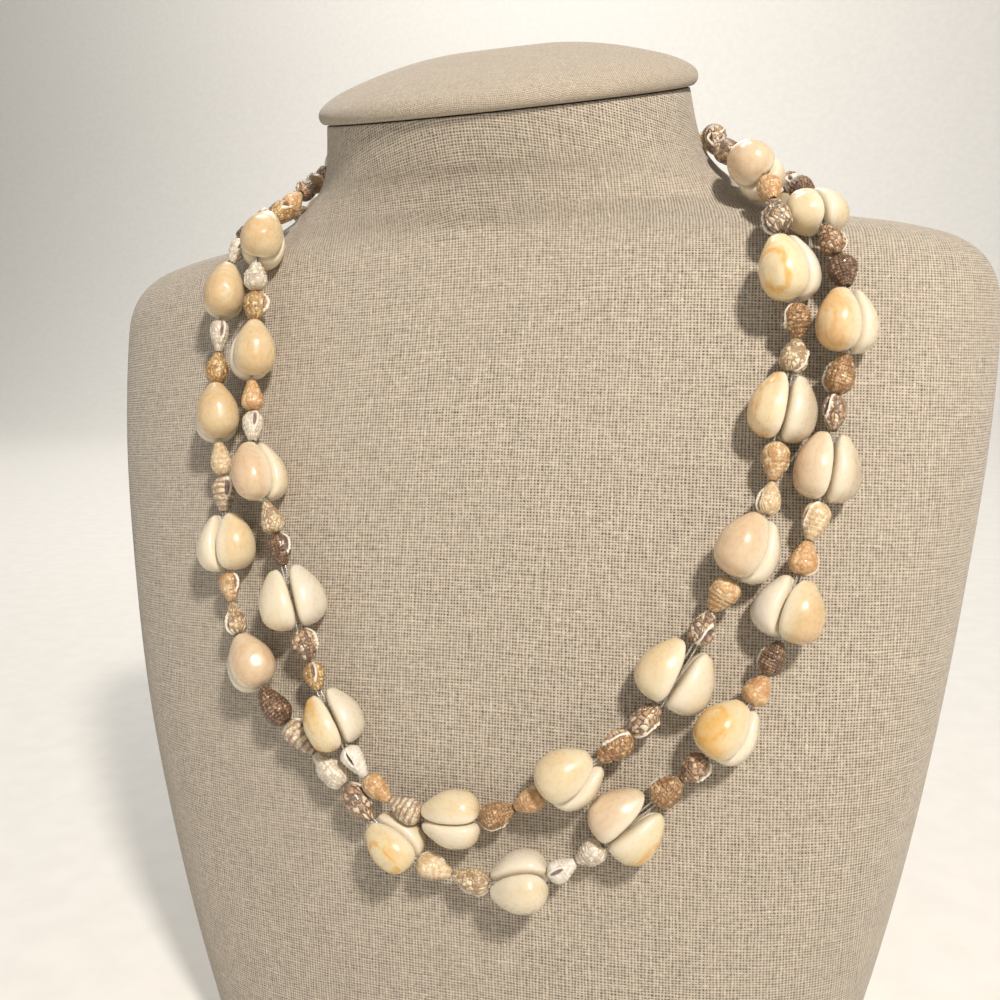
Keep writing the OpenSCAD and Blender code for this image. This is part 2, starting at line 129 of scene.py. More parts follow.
class Finish:
    """A material put together from its nodes."""

    def __init__(self, name):
        self.made = bpy.data.materials.new(name)
        self.made.use_nodes = True
        self.tree = self.made.node_tree
        self.shader = self.tree.nodes["Principled BSDF"]

    def node(self, sort, **values):
        n = self.tree.nodes.new(sort)
        for key, value in values.items():
            setattr(n, key, value)
        return n

    def join(self, a, b):
        self.tree.links.new(a, b)

    def feed(self, socket, value):
        if isinstance(value, bpy.types.NodeSocket):
            self.join(value, socket)
        else:
            socket.default_value = value

    def sum(self, what, a, b=0.0, c=0.0):
        n = self.node("ShaderNodeMath", operation=what)
        for socket, value in zip(n.inputs, (a, b, c)):
            self.feed(socket, value)
        return n.outputs[0]

    def times(self, *values):
        product = values[0]
        for value in values[1:]:
            product = self.sum("MULTIPLY", product, value)
        return product

    def held(self, name, what="Vector"):
        """What the piece's mesh holds under this name."""
        return self.node("ShaderNodeAttribute", attribute_name=name).outputs[what]

    def band(self, value, low, high, to_low=0.0, to_high=1.0):
        n = self.node("ShaderNodeMapRange", interpolation_type="SMOOTHSTEP")
        for socket, v in zip(n.inputs, (value, low, high, to_low, to_high)):
            self.feed(socket, v)
        return n.outputs[0]

    def mix(self, share, a, b, how="MIX"):
        n = self.node("ShaderNodeMix", data_type="RGBA", blend_type=how)
        for i, value in ((0, share), (6, a), (7, b)):
            if not isinstance(value, bpy.types.NodeSocket) and i > 0:
                value = tuple(value) + (1.0,) if len(value) == 3 else value
            self.feed(n.inputs[i], value)
        return n.outputs[2]

    def vector(self, what, a, b=(0, 0, 0)):
        n = self.node("ShaderNodeVectorMath", operation=what)
        self.feed(n.inputs[0], a)
        self.feed(n.inputs[1], b)
        return n.outputs[0]

    def xyz(self, x, y, z=0.0):
        n = self.node("ShaderNodeCombineXYZ")
        for socket, v in zip(n.inputs, (x, y, z)):
            self.feed(socket, v)
        return n.outputs[0]

    def stretched(self, u, v, by_u, by_v, layer=0.0):
        """A place on a cloth, stretched each way, in a layer of its own."""
        return self.xyz(self.times(u, by_u), self.times(v, by_v), layer)

    def parts(self, vector):
        n = self.node("ShaderNodeSeparateXYZ")
        self.join(vector, n.inputs[0])
        return n.outputs[:3]

    def noise(self, vector, scale, detail=2.0, rough=0.5, distortion=0.0):
        n = self.node("ShaderNodeTexNoise")
        self.join(vector, n.inputs["Vector"])
        n.inputs["Scale"].default_value = scale
        n.inputs["Detail"].default_value = detail
        n.inputs["Roughness"].default_value = rough
        n.inputs["Distortion"].default_value = distortion
        return n.outputs[0]

    def cells(self, vector, scale, what="F1"):
        n = self.node("ShaderNodeTexVoronoi", feature=what)
        self.join(vector, n.inputs["Vector"])
        self.feed(n.inputs["Scale"], scale)
        return n.outputs["Distance"], n.outputs.get("Color")

    def relief(self, height, distance, strength=1.0):
        n = self.node("ShaderNodeBump")
        n.inputs["Strength"].default_value = strength
        n.inputs["Distance"].default_value = distance
        self.join(height, n.inputs["Height"])
        self.join(n.outputs[0], self.shader.inputs["Normal"])

    def shader_values(self, **values):
        for key, value in values.items():
            socket = self.shader.inputs[key.replace("_", " ")]
            self.feed(socket, value)


def woven_finish(name, across, up, light, dark, open_to, twill=False, wander=0.06):
    """Cloth seen thread by thread: each thread has its own shade, thick places and bends.

    Across and up are the pitches of the threads; what lies lower than open_to is painted dark, as
    painted shade in the holes.
    """
    cloth = Finish(name)
    uv = cloth.node("ShaderNodeUVMap", uv_map="cloth").outputs[0]
    u, v, _ = cloth.parts(cloth.vector("MULTIPLY", uv, (1 / across, 1 / up, 0)))
    slow = cloth.noise(cloth.stretched(u, v, 0.02, 0.02), 1.0, 2.0)
    bend_u = cloth.noise(cloth.stretched(u, v, 0.35, 0.05), 1.0, 3.0)
    bend_v = cloth.noise(cloth.stretched(u, v, 0.05, 0.35, 7.0), 1.0, 3.0)
    u = cloth.sum("ADD", u, cloth.times(cloth.sum("SUBTRACT", bend_u, 0.5), 8 * wander))
    v = cloth.sum("ADD", v, cloth.times(cloth.sum("SUBTRACT", bend_v, 0.5), 8 * wander))
    iu, iv = cloth.sum("FLOOR", u), cloth.sum("FLOOR", v)
    # the back of a thread across its width
    round_u = cloth.sum("ABSOLUTE", cloth.sum("SINE", cloth.times(u, math.pi)))
    round_v = cloth.sum("ABSOLUTE", cloth.sum("SINE", cloth.times(v, math.pi)))
    # over and under: a twill steps one thread to the side in each row
    if twill:
        lift_u = cloth.sum("SINE", cloth.times(cloth.sum("ADD", v, iu), math.pi * 2 / 3))
        lift_v = cloth.sum("SINE", cloth.times(cloth.sum("ADD", u, iv), math.pi * 2 / 3))
        lift_v = cloth.times(lift_v, -1.0)
    else:
        odd_u, odd_v = (cloth.sum("COSINE", cloth.times(count, math.pi)) for count in (iu, iv))
        lift_u = cloth.times(cloth.sum("SINE", cloth.times(v, math.pi)), odd_u)
        lift_v = cloth.times(cloth.sum("SINE", cloth.times(u, math.pi)), odd_v, -1.0)
    # each thread's own thickness and shade along its length, with slubs here and there
    own_u = cloth.noise(cloth.stretched(iu, v, 3.71, 0.11), 1.0, 2.0)
    own_v = cloth.noise(cloth.stretched(u, iv, 0.11, 3.71, 31.0), 1.0, 2.0)
    slub_u = cloth.band(cloth.noise(cloth.stretched(iu, v, 5.3, 0.30, 3.0), 1.0, 1.0), 0.62, 0.76)
    slub_v = cloth.band(cloth.noise(cloth.stretched(u, iv, 0.30, 5.3, 9.0), 1.0, 1.0), 0.62, 0.76)
    tops = []
    for rounded, lift, own, slub in ((round_u, lift_u, own_u, slub_u),
                                     (round_v, lift_v, own_v, slub_v)):
        thick = cloth.sum("ADD", cloth.band(own, 0.25, 0.75, 0.93, 1.07), cloth.times(slub, 0.35))
        risen = cloth.sum("MULTIPLY_ADD", lift, 0.19, 0.81)
        tops.append(cloth.times(cloth.sum("POWER", rounded, 0.75), risen, thick))
    # hand-spun thread leaves the holes between crossings unequal, and some nearly closed
    corner = cloth.stretched(cloth.sum("ROUND", u), cloth.sum("ROUND", v), 0.61, 0.61, 17.0)
    uneven = cloth.band(cloth.noise(corner, 1.0, 2.0), 0.32, 0.68, -0.03, 0.13)
    height = cloth.sum("ADD", cloth.sum("MAXIMUM", *tops), uneven)
    over = cloth.sum("GREATER_THAN", *tops)
    under = cloth.sum("SUBTRACT", 1.0, over)
    shade = cloth.sum("ADD", cloth.times(over, own_u), cloth.times(under, own_v))
    thread = cloth.mix(cloth.band(shade, 0.3, 0.7), tinted(light, 0.84), tinted(light, 1.06))
    # painted shade: each thread is painted darker where it lies low, at its edges and where it dips
    # under the other
    thread = cloth.mix(cloth.band(height, 0.60, 0.98), tinted(light, 0.66), thread)
    slub = cloth.sum("MAXIMUM", cloth.times(slub_u, over), cloth.times(slub_v, under))
    thread = cloth.mix(cloth.times(slub, 0.45), thread, tinted(light, 1.22))
    # painted shade: the holes between the threads are painted in the dark colour
    colour = cloth.mix(cloth.band(height, open_to - 0.34, open_to), dark, thread)
    fibre = cloth.noise(cloth.stretched(u, v, 2.3, 2.3), 1.0, 3.0, 0.7)
    colour = cloth.mix(cloth.band(fibre, 0.35, 0.75, 0.0, 0.25), colour, tinted(light, 1.25))
    colour = cloth.mix(cloth.band(slow, 0.3, 0.7, 0.0, 0.16), colour, tinted(light, 0.74))
    cloth.shader_values(Base_Color=colour, Roughness=0.92, Sheen_Weight=0.25, Sheen_Roughness=0.5,
                        Specular_IOR_Level=0.2)
    cloth.relief(cloth.sum("ADD", height, cloth.times(fibre, 0.25)), up * 0.36, 1.0)
    return cloth.made


# columns of the body's mesh round it, and its rows from one section to the next
body_columns, steps = 216, 11
grid = np.array([[on_body(-180 + 360 * j / body_columns, i / steps) for j in range(body_columns)]
                 for i in range((len(SECTIONS) - 1) * steps + 1)])


def drawn_in(ring, share, middle, rise):
    x, y, z = ring.T
    return np.column_stack([x * share, (y - middle) * share + middle, z + rise])


# the linen is turned in under the base, and in over the neck's top below the cap
foot = [drawn_in(grid[0], share, SECTIONS[0][4], rise)
        for share, rise in ((0.93, 0), (0.986, 0), (0.996, 0.35))]
top = [drawn_in(grid[-1], share, SECTIONS[-1][4], rise)
       for share, rise in ((0.994, 0.1), (0.97, 0.12))]
rings = np.array(foot + [grid[0] + [0, 0, 1.2]] + list(grid[1:]) + top)
rows = len(rings)
faces = tube_faces(rows, body_columns)
faces.append(tuple(reversed(range(body_columns))))
faces.append(tuple((rows - 1) * body_columns + j for j in range(body_columns)))
bust = new_mesh("linen_body", rings.reshape(-1, 3) * MM, faces)

# the cloth's own measure: round the body from the middle of the front, and up from the base,
# begun again at the foot of the neck
wrapped = np.concatenate([rings, rings[:, :1]], axis=1)
run_round = np.zeros((rows, body_columns + 1))
run_round[:, 1:] = np.cumsum(np.linalg.norm(np.diff(wrapped, axis=1), axis=2), axis=1)
run_round -= run_round[:, body_columns // 2][:, None]
run_up = np.zeros((rows, body_columns + 1))
run_up[1:] = np.cumsum(np.linalg.norm(np.diff(wrapped, axis=0), axis=2), axis=0)
neck_row = len(foot) + FOOT_OF_NECK * steps
neck_up = run_up - run_up[neck_row] + run_up[neck_row, body_columns // 2]
layer = bust.data.uv_layers.new(name="cloth")
for face in bust.data.polygons:
    up = neck_up if min(face.vertices) // body_columns >= neck_row else run_up
    # the last column of faces ends where the first begins, a whole turn further on
    at_seam = max(face.vertices) % body_columns == body_columns - 1 and len(face.vertices) == 4
    for loop in face.loop_indices:
        i, j = divmod(bust.data.loops[loop].vertex_index, body_columns)
        if j == 0 and at_seam:
            j = body_columns
        layer.data[loop].uv = (run_round[i, j] * MM, up[i, j] * MM)
# the dark colour is the painted shade in the holes between the threads
linen = woven_finish("natural_linen", 0.90 * MM, 0.80 * MM, paint(204, 191, 172), paint(50, 40, 29),
                     open_to=0.79, wander=0.15)
bust.data.materials.append(linen)
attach(bust, "root")
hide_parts("bust_body")

# A padded disc that closes the neck: wadding on a board, under a finer and denser cloth drawn
# over its rim. It sits on the neck with a narrow dark joint below its edge. Its profile is given
# from below the rim to the crown: how far out past the neck's edge, and how far up.
cap_profile = np.array([
    [-9, 0.3], [-2.4, 0.3], [-0.4, 0.4], [1.1, 0.65], [2.0, 1.5], [2.45, 2.8], [2.3, 4.2], [1.4, 5.6],
    [-0.5, 7.1], [-3.5, 8.8], [-7.5, 10.4], [-12.5, 12.0], [-18.5, 13.7], [-25, 15.2], [-32, 16.4],
    [-40, 17.2], [-46, 17.3]])
cap_columns = 160
half_width, front_depth, cap_middle, cap_slope, neck_top = SECTIONS[-1][[1, 2, 4, 6, 0]]
cap_line = np.array([smooth_row(cap_profile, i / 4) for i in range(4 * (len(cap_profile) - 1) + 1)])
places = []
for out, up in cap_line:
    for j in range(cap_columns):
        a = 2 * math.pi * j / cap_columns
        x, y = (half_width + out) * math.sin(a), -(front_depth + out) * math.cos(a)
        places.append([x, cap_middle + y, neck_top + cap_slope * y + up])
places.append([0, cap_middle, neck_top + cap_profile[-1][1]])
faces = tube_faces(len(cap_line), cap_columns)
last = (len(cap_line) - 1) * cap_columns
faces += [(last + j, last + (j + 1) % cap_columns, len(places) - 1) for j in range(cap_columns)]
faces.append(tuple(reversed(range(cap_columns))))
cap = new_mesh("padded_cap", np.array(places) * MM, faces)
# its cloth lies flat on the crown and is drawn out and down over the rim
run = np.concatenate([[0], np.cumsum(np.linalg.norm(np.diff(cap_line, axis=0), axis=1))])
left = run[-1] - run + cap_line[-1][0]
layer = cap.data.uv_layers.new(name="cloth")
for loop in cap.data.loops:
    i, j = divmod(loop.vertex_index, cap_columns)
    a = 2 * math.pi * j / cap_columns
    layer.data[loop.index].uv = (0.0, 0.0) if i == len(cap_line) else (
        (left[i] + half_width) * MM * math.sin(a), -(left[i] + front_depth) * MM * math.cos(a))
# its dark colour is the painted shade in the holes of the twill
cap.data.materials.append(woven_finish("cap_cloth", 0.5 * MM, 0.5 * MM, paint(200, 186, 166),
                                       paint(76, 64, 50), open_to=0.71, twill=True))
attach(cap, "root")
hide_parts("neck_cap")

# Two loops of clear nylon line, each run double through every shell of its strand. The longer
# one lies outside. Routes over the body are given from the middle of the back round its right
# side, in degrees, sections and millimetres above the cloth.
INNER_ROUTE = [
    [180, 12.6, 0], [155, 12.8, 0.5], [130, 13, 0.7], [108, 13.2, -0.6], [94, 13.1, -2.5],
    [81, 12.8, -2.5], [66, 11.7, 0], [49, 10.1, 1.5], [40, 9, 2], [35.5, 8, 1.2], [34, 6.8, 0],
    [35, 5.85, 0], [33.5, 5.3, 0], [33.5, 4.85, 0], [32, 4.45, 0], [28.5, 4.1, 0], [25.5, 3.65, 0],
    [21, 3.3, 0], [15, 3.05, 0], [8.5, 2.8, 0], [0.5, 2.65, 0.5], [-8, 2.8, 1.5], [-13.5, 3.2, 0.5],
    [-17, 3.6, 0], [-19, 4, 0], [-21.5, 4.45, 0], [-24, 4.9, 0], [-25.5, 5.3, 0], [-26, 5.85, 0],
    [-26.5, 6.6, 0], [-27.5, 7.7, 1.4], [-35, 9.6, 1], [-54, 11.4, -1.2], [-66, 12.2, -2.5],
    [-78, 12.6, -3], [-89, 12.8, -1.5], [-100, 12.9, 1.2], [-116, 13, 1.1], [-137, 12.9, 1.4],
    [-158, 12.7, 0.6]]
OUTER_ROUTE = [
    [180, 9, 0.4], [162, 9.1, 0.3], [149, 9.6, 0.6], [136, 10.3, 1], [121, 10.9, 0.5],
    [106, 11.2, 0.4], [92, 11.2, 0.5], [78, 10.9, 0.5], [63, 10.3, 1.2], [49.5, 9.4, 0.3],
    [42, 8.2, 0.6], [40, 7, 1.2], [40.5, 5.85, 0], [39.5, 5.4, 0], [39.5, 4.9, 0], [38, 4.5, 0],
    [36.5, 4.1, 0], [35, 3.7, 0], [31.5, 3.35, 0], [27, 3.05, 0], [21.5, 2.75, 0], [16.5, 2.5, 0],
    [9.5, 2.3, 0], [1.5, 2.3, 0], [-6.5, 2.45, 0], [-10.5, 2.7, 0], [-16.5, 3, 0], [-22.5, 3.3, 0],
    [-25.5, 3.6, 0], [-28.5, 3.95, 0], [-29.5, 4.35, 0], [-30, 4.85, 0], [-30.5, 5.3, 0],
    [-31.5, 5.8, 0], [-31.5, 6.9, 0], [-33.5, 8.1, 0], [-39, 9.2, -0.5], [-56, 10.5, -0.9],
    [-71, 11.05, -0.7], [-84, 11.3, 0.2], [-97, 11.3, 0.3], [-109, 11.2, 0.4], [-121, 10.9, 0.5],
    [-136, 10.3, 1.4], [-149, 9.6, 1.8], [-162, 9.1, 0.8]]
PAIR, SPIRE, ROUND, KNOT = 0, 1, 2, 3
# What is on each strand, in order. A pair of cowries: kind, length taken up, width, height of one
# cowrie, turn about the strand, spread of the tips, way, colours of the two. A small shell: kind,
# length taken up, diameter, way, colour, turn of its mouth. A knot: kind, length, diameter, way.
INNER_ITEMS = [
    [PAIR, 16, 12.2, 8.6, 20, 4, 1, "cream", "ivory"], [SPIRE, 9.5, 6.4, 1, "tan", 40],
    [ROUND, 9, 6.8, -1, "mottled", -50], [PAIR, 16, 12, 8.4, -30, 4, -1, "tan", "cream"],
    [SPIRE, 9, 6.2, -1, "gold", 60], [SPIRE, 9, 6.4, 1, "brown", -60],
    [ROUND, 9, 6.6, 1, "mottled", 0],
    [SPIRE, 10, 6.4, 1, "mottled", 100], [ROUND, 11.5, 7.2, -1, "mottled", 60],
    [PAIR, 17, 12.6, 8.8, 35, 4, -1, "peach", "cream"], [SPIRE, 8.5, 6.6, -1, "orange", 80],
    [ROUND, 10, 7.4, 1, "mottled", 90],
    [PAIR, 17.5, 12.9, 9, 45, 4, -1, "blotched", "white"], [ROUND, 8.5, 7, -1, "ribbed", -80],
    [ROUND, 8.5, 7.2, 1, "spotted", -70],
    [PAIR, 17.5, 12.8, 8.6, 5, 3, -1, "streaked", "grey"], [SPIRE, 9.5, 7, -1, "tan", 90],
    [SPIRE, 8.5, 6, 1, "sand", 70],
    [PAIR, 17, 13, 9.2, 45, 3, -1, "peach", "white"], [SPIRE, 9, 7.6, -1, "tan", 110],
    [ROUND, 8.5, 6.8, 1, "mottled", -30],
    [PAIR, 17, 12.8, 9.4, 8, 14, -1, "cream", "ivory"], [ROUND, 9.5, 7, 1, "mottled", -60],
    [ROUND, 10, 7.2, -1, "ribbed", -55],
    [PAIR, 16, 13.4, 9, 45, 6, -1, "cream", "ivory"], [SPIRE, 9, 6.4, -1, "orange", 120],
    [ROUND, 9.5, 6.8, 1, "ribbed", -80],
    [PAIR, 16, 11.4, 7.8, 0, 0, 1, "cream", "ivory"], [SPIRE, 9, 7, -1, "striped", 100],
    [SPIRE, 8.5, 6, 1, "orange", -90], [SPIRE, 9, 6.2, 1, "clear", 10],
    [PAIR, 16, 12, 8, -40, 5, 1, "white", "blotched"], [SPIRE, 7.5, 6.2, 1, "gold", 30],
    [ROUND, 9, 7, 1, "mottled", 100],
    [PAIR, 17.5, 13.2, 9, -35, 6, 1, "white", "ivory"], [ROUND, 9, 6.4, 1, "dark", 80],
    [SPIRE, 9, 6.8, -1, "spotted", 90],
    [PAIR, 17.5, 12.3, 8.8, -80, 0, 1, "cream", "peach"], [SPIRE, 9, 6.2, 1, "pale", 50],
    [SPIRE, 9, 6.6, -1, "orange", 100],
    [PAIR, 17, 12.2, 8.8, 40, 4, 1, "tan", "white"], [ROUND, 8.5, 7.4, 1, "gold", 90],
    [ROUND, 8, 6.6, -1, "pale", 40],
    [PAIR, 16, 12.5, 8.6, 60, 3, 1, "tan", "cream"], [ROUND, 9, 7, 1, "gold", 70],
    [SPIRE, 9, 6.2, -1, "orange", 90],
    [ROUND, 9, 6.6, -1, "mottled", 0], [SPIRE, 9, 6.4, -1, "tan", -40],
    [ROUND, 8.5, 6.4, 1, "brown", 60],
    [PAIR, 16, 12, 8.6, 30, 4, 1, "ivory", "tan"], [SPIRE, 9.5, 6.2, -1, "orange", 20],
    [PAIR, 16, 12.2, 8.4, -20, 4, 1, "cream", "white"], [SPIRE, 9, 6.4, 1, "mottled", -30],
    [PAIR, 16, 12, 8.6, 40, 4, -1, "blotched", "ivory"], [SPIRE, 9.5, 6.2, 1, "gold", 50],
    [KNOT, 4, 3.6, 1], [ROUND, 9, 6.6, -1, "ribbed", 20]]
OUTER_ITEMS = [
    [PAIR, 15, 12, 8.4, 10, 4, 1, "ivory", "cream"], [ROUND, 8.5, 6.6, 1, "gold", 40],
    [SPIRE, 8.5, 6.2, -1, "mottled", -40], [PAIR, 15, 12, 8.4, 40, 4, -1, "cream", "tan"],
    [SPIRE, 8.5, 6.4, 1, "tan", 60], [ROUND, 8.5, 6.6, -1, "mottled", -20],
    [PAIR, 15, 12, 8.4, -20, 4, 1, "white", "cream"], [SPIRE, 8.5, 6.2, 1, "brown", 30],
    [SPIRE, 8.5, 6.4, -1, "orange", -70], [ROUND, 8.5, 6.4, 1, "mottled", 80],
    [SPIRE, 9.8, 6.2, 1, "pale", 60], [ROUND, 9.7, 7, -1, "dark", 90],
    [PAIR, 14.5, 11.6, 8.2, 5, 4, -1, "cream", "ivory"], [ROUND, 8, 6.6, 1, "brown", -80],
    [ROUND, 8.5, 7.6, -1, "dark", 90],
    [PAIR, 16.5, 12.2, 8.6, 30, 6, -1, "streaked", "ivory"], [ROUND, 10, 7.6, 1, "ribbed", 90],
    [ROUND, 9, 6.2, -1, "mottled", -60],
    [PAIR, 17.5, 12.6, 8.4, 3, 3, -1, "peach", "grey"], [SPIRE, 9.5, 6.8, -1, "sand", -70],
    [SPIRE, 8.5, 7, 1, "orange", -80],
    [PAIR, 16, 12.8, 8.8, -40, 5, -1, "white", "tan"], [ROUND, 8.5, 6.6, 1, "dark", 100],
    [SPIRE, 7.5, 6.8, 1, "orange", 120],
    [PAIR, 16, 13, 8.8, 45, 5, -1, "blotched", "ivory"], [ROUND, 8, 6.6, -1, "brown", 60],
    [ROUND, 8.5, 7.6, 1, "ribbed", 100],
    [PAIR, 16.5, 12.8, 9.4, 0, 12, -1, "peach", "blotched"], [SPIRE, 8, 6.4, -1, "pale", 70],
    [SPIRE, 7.5, 6.2, 1, "clear", 20],
    [PAIR, 15.5, 12, 8.2, -50, 3, 1, "white", "ivory"], [SPIRE, 10, 6.6, -1, "spotted", 60],
    [SPIRE, 9.5, 6.6, 1, "sand", 110],
    [PAIR, 15.5, 11.4, 8, -70, 0, 1, "cream", "blotched"], [ROUND, 11.5, 6.8, 1, "mottled", 100],
    [SPIRE, 11.5, 6.6, -1, "pale", 60], [SPIRE, 11, 7, 1, "striped", 90],
    [ROUND, 11.5, 8, -1, "dark", 110],
    [PAIR, 16, 12.4, 8.8, 40, 5, 1, "peach", "white"], [SPIRE, 9.5, 6.2, -1, "spotted", 10],
    [SPIRE, 8, 6.2, 1, "tan", 80],
    [PAIR, 17, 12.2, 8.8, 0, 9, 1, "cream", "ivory"], [ROUND, 10, 6.8, 1, "striped", 60],
    [SPIRE, 9.5, 6.4, -1, "sand", 90],
    [PAIR, 17, 12.4, 8.6, 45, 5, 1, "tan", "white"], [ROUND, 9.5, 6.8, -1, "gold", 90],
    [SPIRE, 9.5, 5.8, 1, "pale", 60],
    [PAIR, 16.5, 12, 8.4, 50, 5, 1, "tan", "ivory"],
    [SPIRE, 8.5, 6.2, 1, "pale", 50], [ROUND, 8.5, 6.4, -1, "dark", 60],
    [SPIRE, 8.5, 6.2, 1, "tan", 20],
    [SPIRE, 8.5, 6.4, -1, "gold", -30], [ROUND, 8.5, 6.4, 1, "mottled", 70],
    [SPIRE, 8.5, 6.2, -1, "orange", 10], [ROUND, 8.5, 6.4, 1, "spotted", -60],
    [PAIR, 15, 12, 8.4, 30, 4, 1, "cream", "tan"], [SPIRE, 8.5, 6.4, 1, "brown", 50],
    [PAIR, 15, 12, 8.4, -30, 4, -1, "ivory", "cream"], [SPIRE, 8.5, 6.2, -1, "mottled", -50],
    [PAIR, 15, 12, 8.6, 20, 4, 1, "white", "ivory"], [ROUND, 8.5, 6.6, -1, "gold", 30],
    [PAIR, 15, 12, 8.4, 40, 4, -1, "peach", "cream"], [KNOT, 4, 3.6, 1],
    [SPIRE, 8.5, 6.4, 1, "sand", -20], [ROUND, 8.5, 6.4, -1, "brown", 50]]
# In millimetres: a route's height above the cloth, how much lower the small shells hang, the gaps
# between two cowries of a pair and between a pair and the cloth, and a shell's play on the line.
STRAND_HEIGHT, SMALL_DROP, PAIR_GAP, CLOTH_CLEARANCE, END_PLAY = 7.0, 1.2, 0.3, 0.4, 0.2
# how far along its loop each strand's first shell begins
INNER_START, OUTER_START = 9.4, 13.8
# the line's thickness, and how far to each side of a joint it bends
LINE_DIAMETER, LINE_BEND = 0.45, 0.45
# half the distance between the two runs of line, beside a pair and between two small shells
APART_AT_PAIR, APART_AT_SMALL = 0.6, 0.37
# a cowrie's rounded back, half way along: share of the width across, share of the height out
COWRIE_BACK = [[0.78, 0], [1, 0.26], [0.76, 0.76], [0, 1], [-0.76, 0.76], [-1, 0.26], [-0.78, 0]]


def pair_lift(item):
    turn = math.radians(item[4])
    return PAIR_GAP / 2 + CLOTH_CLEARANCE - STRAND_HEIGHT + max(
        abs(a * item[2] / 2 * math.cos(turn)) + abs(b * item[3] * math.sin(turn))
        for a, b in COWRIE_BACK)


def hang(items, route, start):
    """The strand's items, the joints between them, and at each joint the way away from the cloth,
    the turn of the two runs of line and how far they are apart."""
    n, stops, finer = len(items), len(route), 12
    samples = []
    for i in range(stops):
        around = [np.array(route[(i + d) % stops], float) - [360 * ((i + d) // stops), 0, 0]
                  for d in (-1, 0, 1, 2)]
        samples += [eased(*around, j / finer) for j in range(finer)]
    places = np.array([on_body(angle, t) + (STRAND_HEIGHT + more) * off_body(angle, t)
                       for angle, t, more in samples])
    normals = np.array([off_body(angle, t) for angle, t, _ in samples])
    places, normals = np.vstack([places, places[:1]]), np.vstack([normals, normals[:1]])
    lengths = np.concatenate([[0], np.cumsum(np.linalg.norm(np.diff(places, axis=0), axis=1))])
    total = lengths[-1]
    run = np.concatenate([[0], np.cumsum([item[1] for item in items])])
    gap = (total - run[-1]) / n

    def at(s, values):
        s = s % total
        i = min(int(np.searchsorted(lengths, s, side="right")) - 1, len(values) - 2)
        share = (s - lengths[i]) / (lengths[i + 1] - lengths[i])
        return values[i] + share * (values[i + 1] - values[i])

    def nearest(i, step):
        while items[i % n][0] != PAIR:
            i += step
        return items[i % n]

    joints, ways, turns, apart = [], [], [], []
    for i in range(n + 1):
        before, after = nearest(i - 1, -1), nearest(i, 1)
        beside = (before if items[(i - 1) % n][0] == PAIR
                  else after if items[i % n][0] == PAIR else None)
        lift = (pair_lift(beside) if beside
                else (pair_lift(before) + pair_lift(after)) / 2 - SMALL_DROP)
        s = start - gap / 2 + run[i] + i * gap
        way = unit(at(s, normals))
        joints.append(at(s, places) + lift * way)
        ways.append(way)
        turns.append(beside[4] if beside else (before[4] + after[4]) / 2)
        apart.append(APART_AT_PAIR if beside else APART_AT_SMALL)
    return items, joints, ways, turns, apart


def frame_at(strand, i):
    """Item i's middle, and its directions along the strand, away from the cloth and sideways."""
    a, b = strand[1][i], strand[1][i + 1]
    along = unit(b - a)
    side = unit(np.cross(along, strand[2][i] + strand[2][i + 1]))
    return (a + b) / 2, along, np.cross(side, along), side


def line_places(strand, side):
    """Where one of the two runs of line goes: straight through each shell, bending between them."""
    items, joints, ways, turns, spaces = strand
    n, out = len(items), []
    for i in range(n):
        along = unit(joints[(i + 1) % n] - joints[i - 1])
        across = unit(np.cross(along, ways[i]))
        turn = math.radians(turns[i])
        apart = across * math.cos(turn) + np.cross(across, along) * math.sin(turn)
        here = joints[i] + side * spaces[i] * apart
        out += [here - LINE_BEND * unit(here - joints[i - 1]),
                here + LINE_BEND * unit(joints[(i + 1) % n] - here)]
    return np.array(out)


INNER = hang(INNER_ITEMS, INNER_ROUTE, INNER_START)
OUTER = hang(OUTER_ITEMS, OUTER_ROUTE, OUTER_START)
STRANDS = ((INNER, "inner"), (OUTER, "outer"))


def new_tree(name, **wanted):
    """A tree of nodes, where each of its inputs comes out inside it, and where its piece goes in."""
    tree = bpy.data.node_groups.new(name, "GeometryNodeTree")
    for label, sort in wanted.items():
        tree.interface.new_socket(label, in_out="INPUT", socket_type="NodeSocket" + sort)
    tree.interface.new_socket("Piece", in_out="OUTPUT", socket_type="NodeSocketGeometry")
    entry, leave = (tree.nodes.new(sort) for sort in ("NodeGroupInput", "NodeGroupOutput"))
    return tree, {label: entry.outputs[label] for label in wanted}, leave.inputs["Piece"]


def plain_mesh(piece, tree, **values):
    """Run a tree on a piece with its named inputs set, and keep the result as its own mesh."""
    run = piece.modifiers.new("made", "NODES")
    run.node_group = tree
    for item in tree.interface.items_tree:
        if item.item_type == "SOCKET" and item.in_out == "INPUT" and item.name in values:
            run[item.identifier] = values[item.name]
    piece.update_tag()
    graph = bpy.context.evaluated_depsgraph_get()
    made = bpy.data.meshes.new_from_object(
        piece.evaluated_get(graph), preserve_all_data_layers=True, depsgraph=graph)
    piece.modifiers.clear()
    piece.data = made
    made.name = piece.name
    return piece


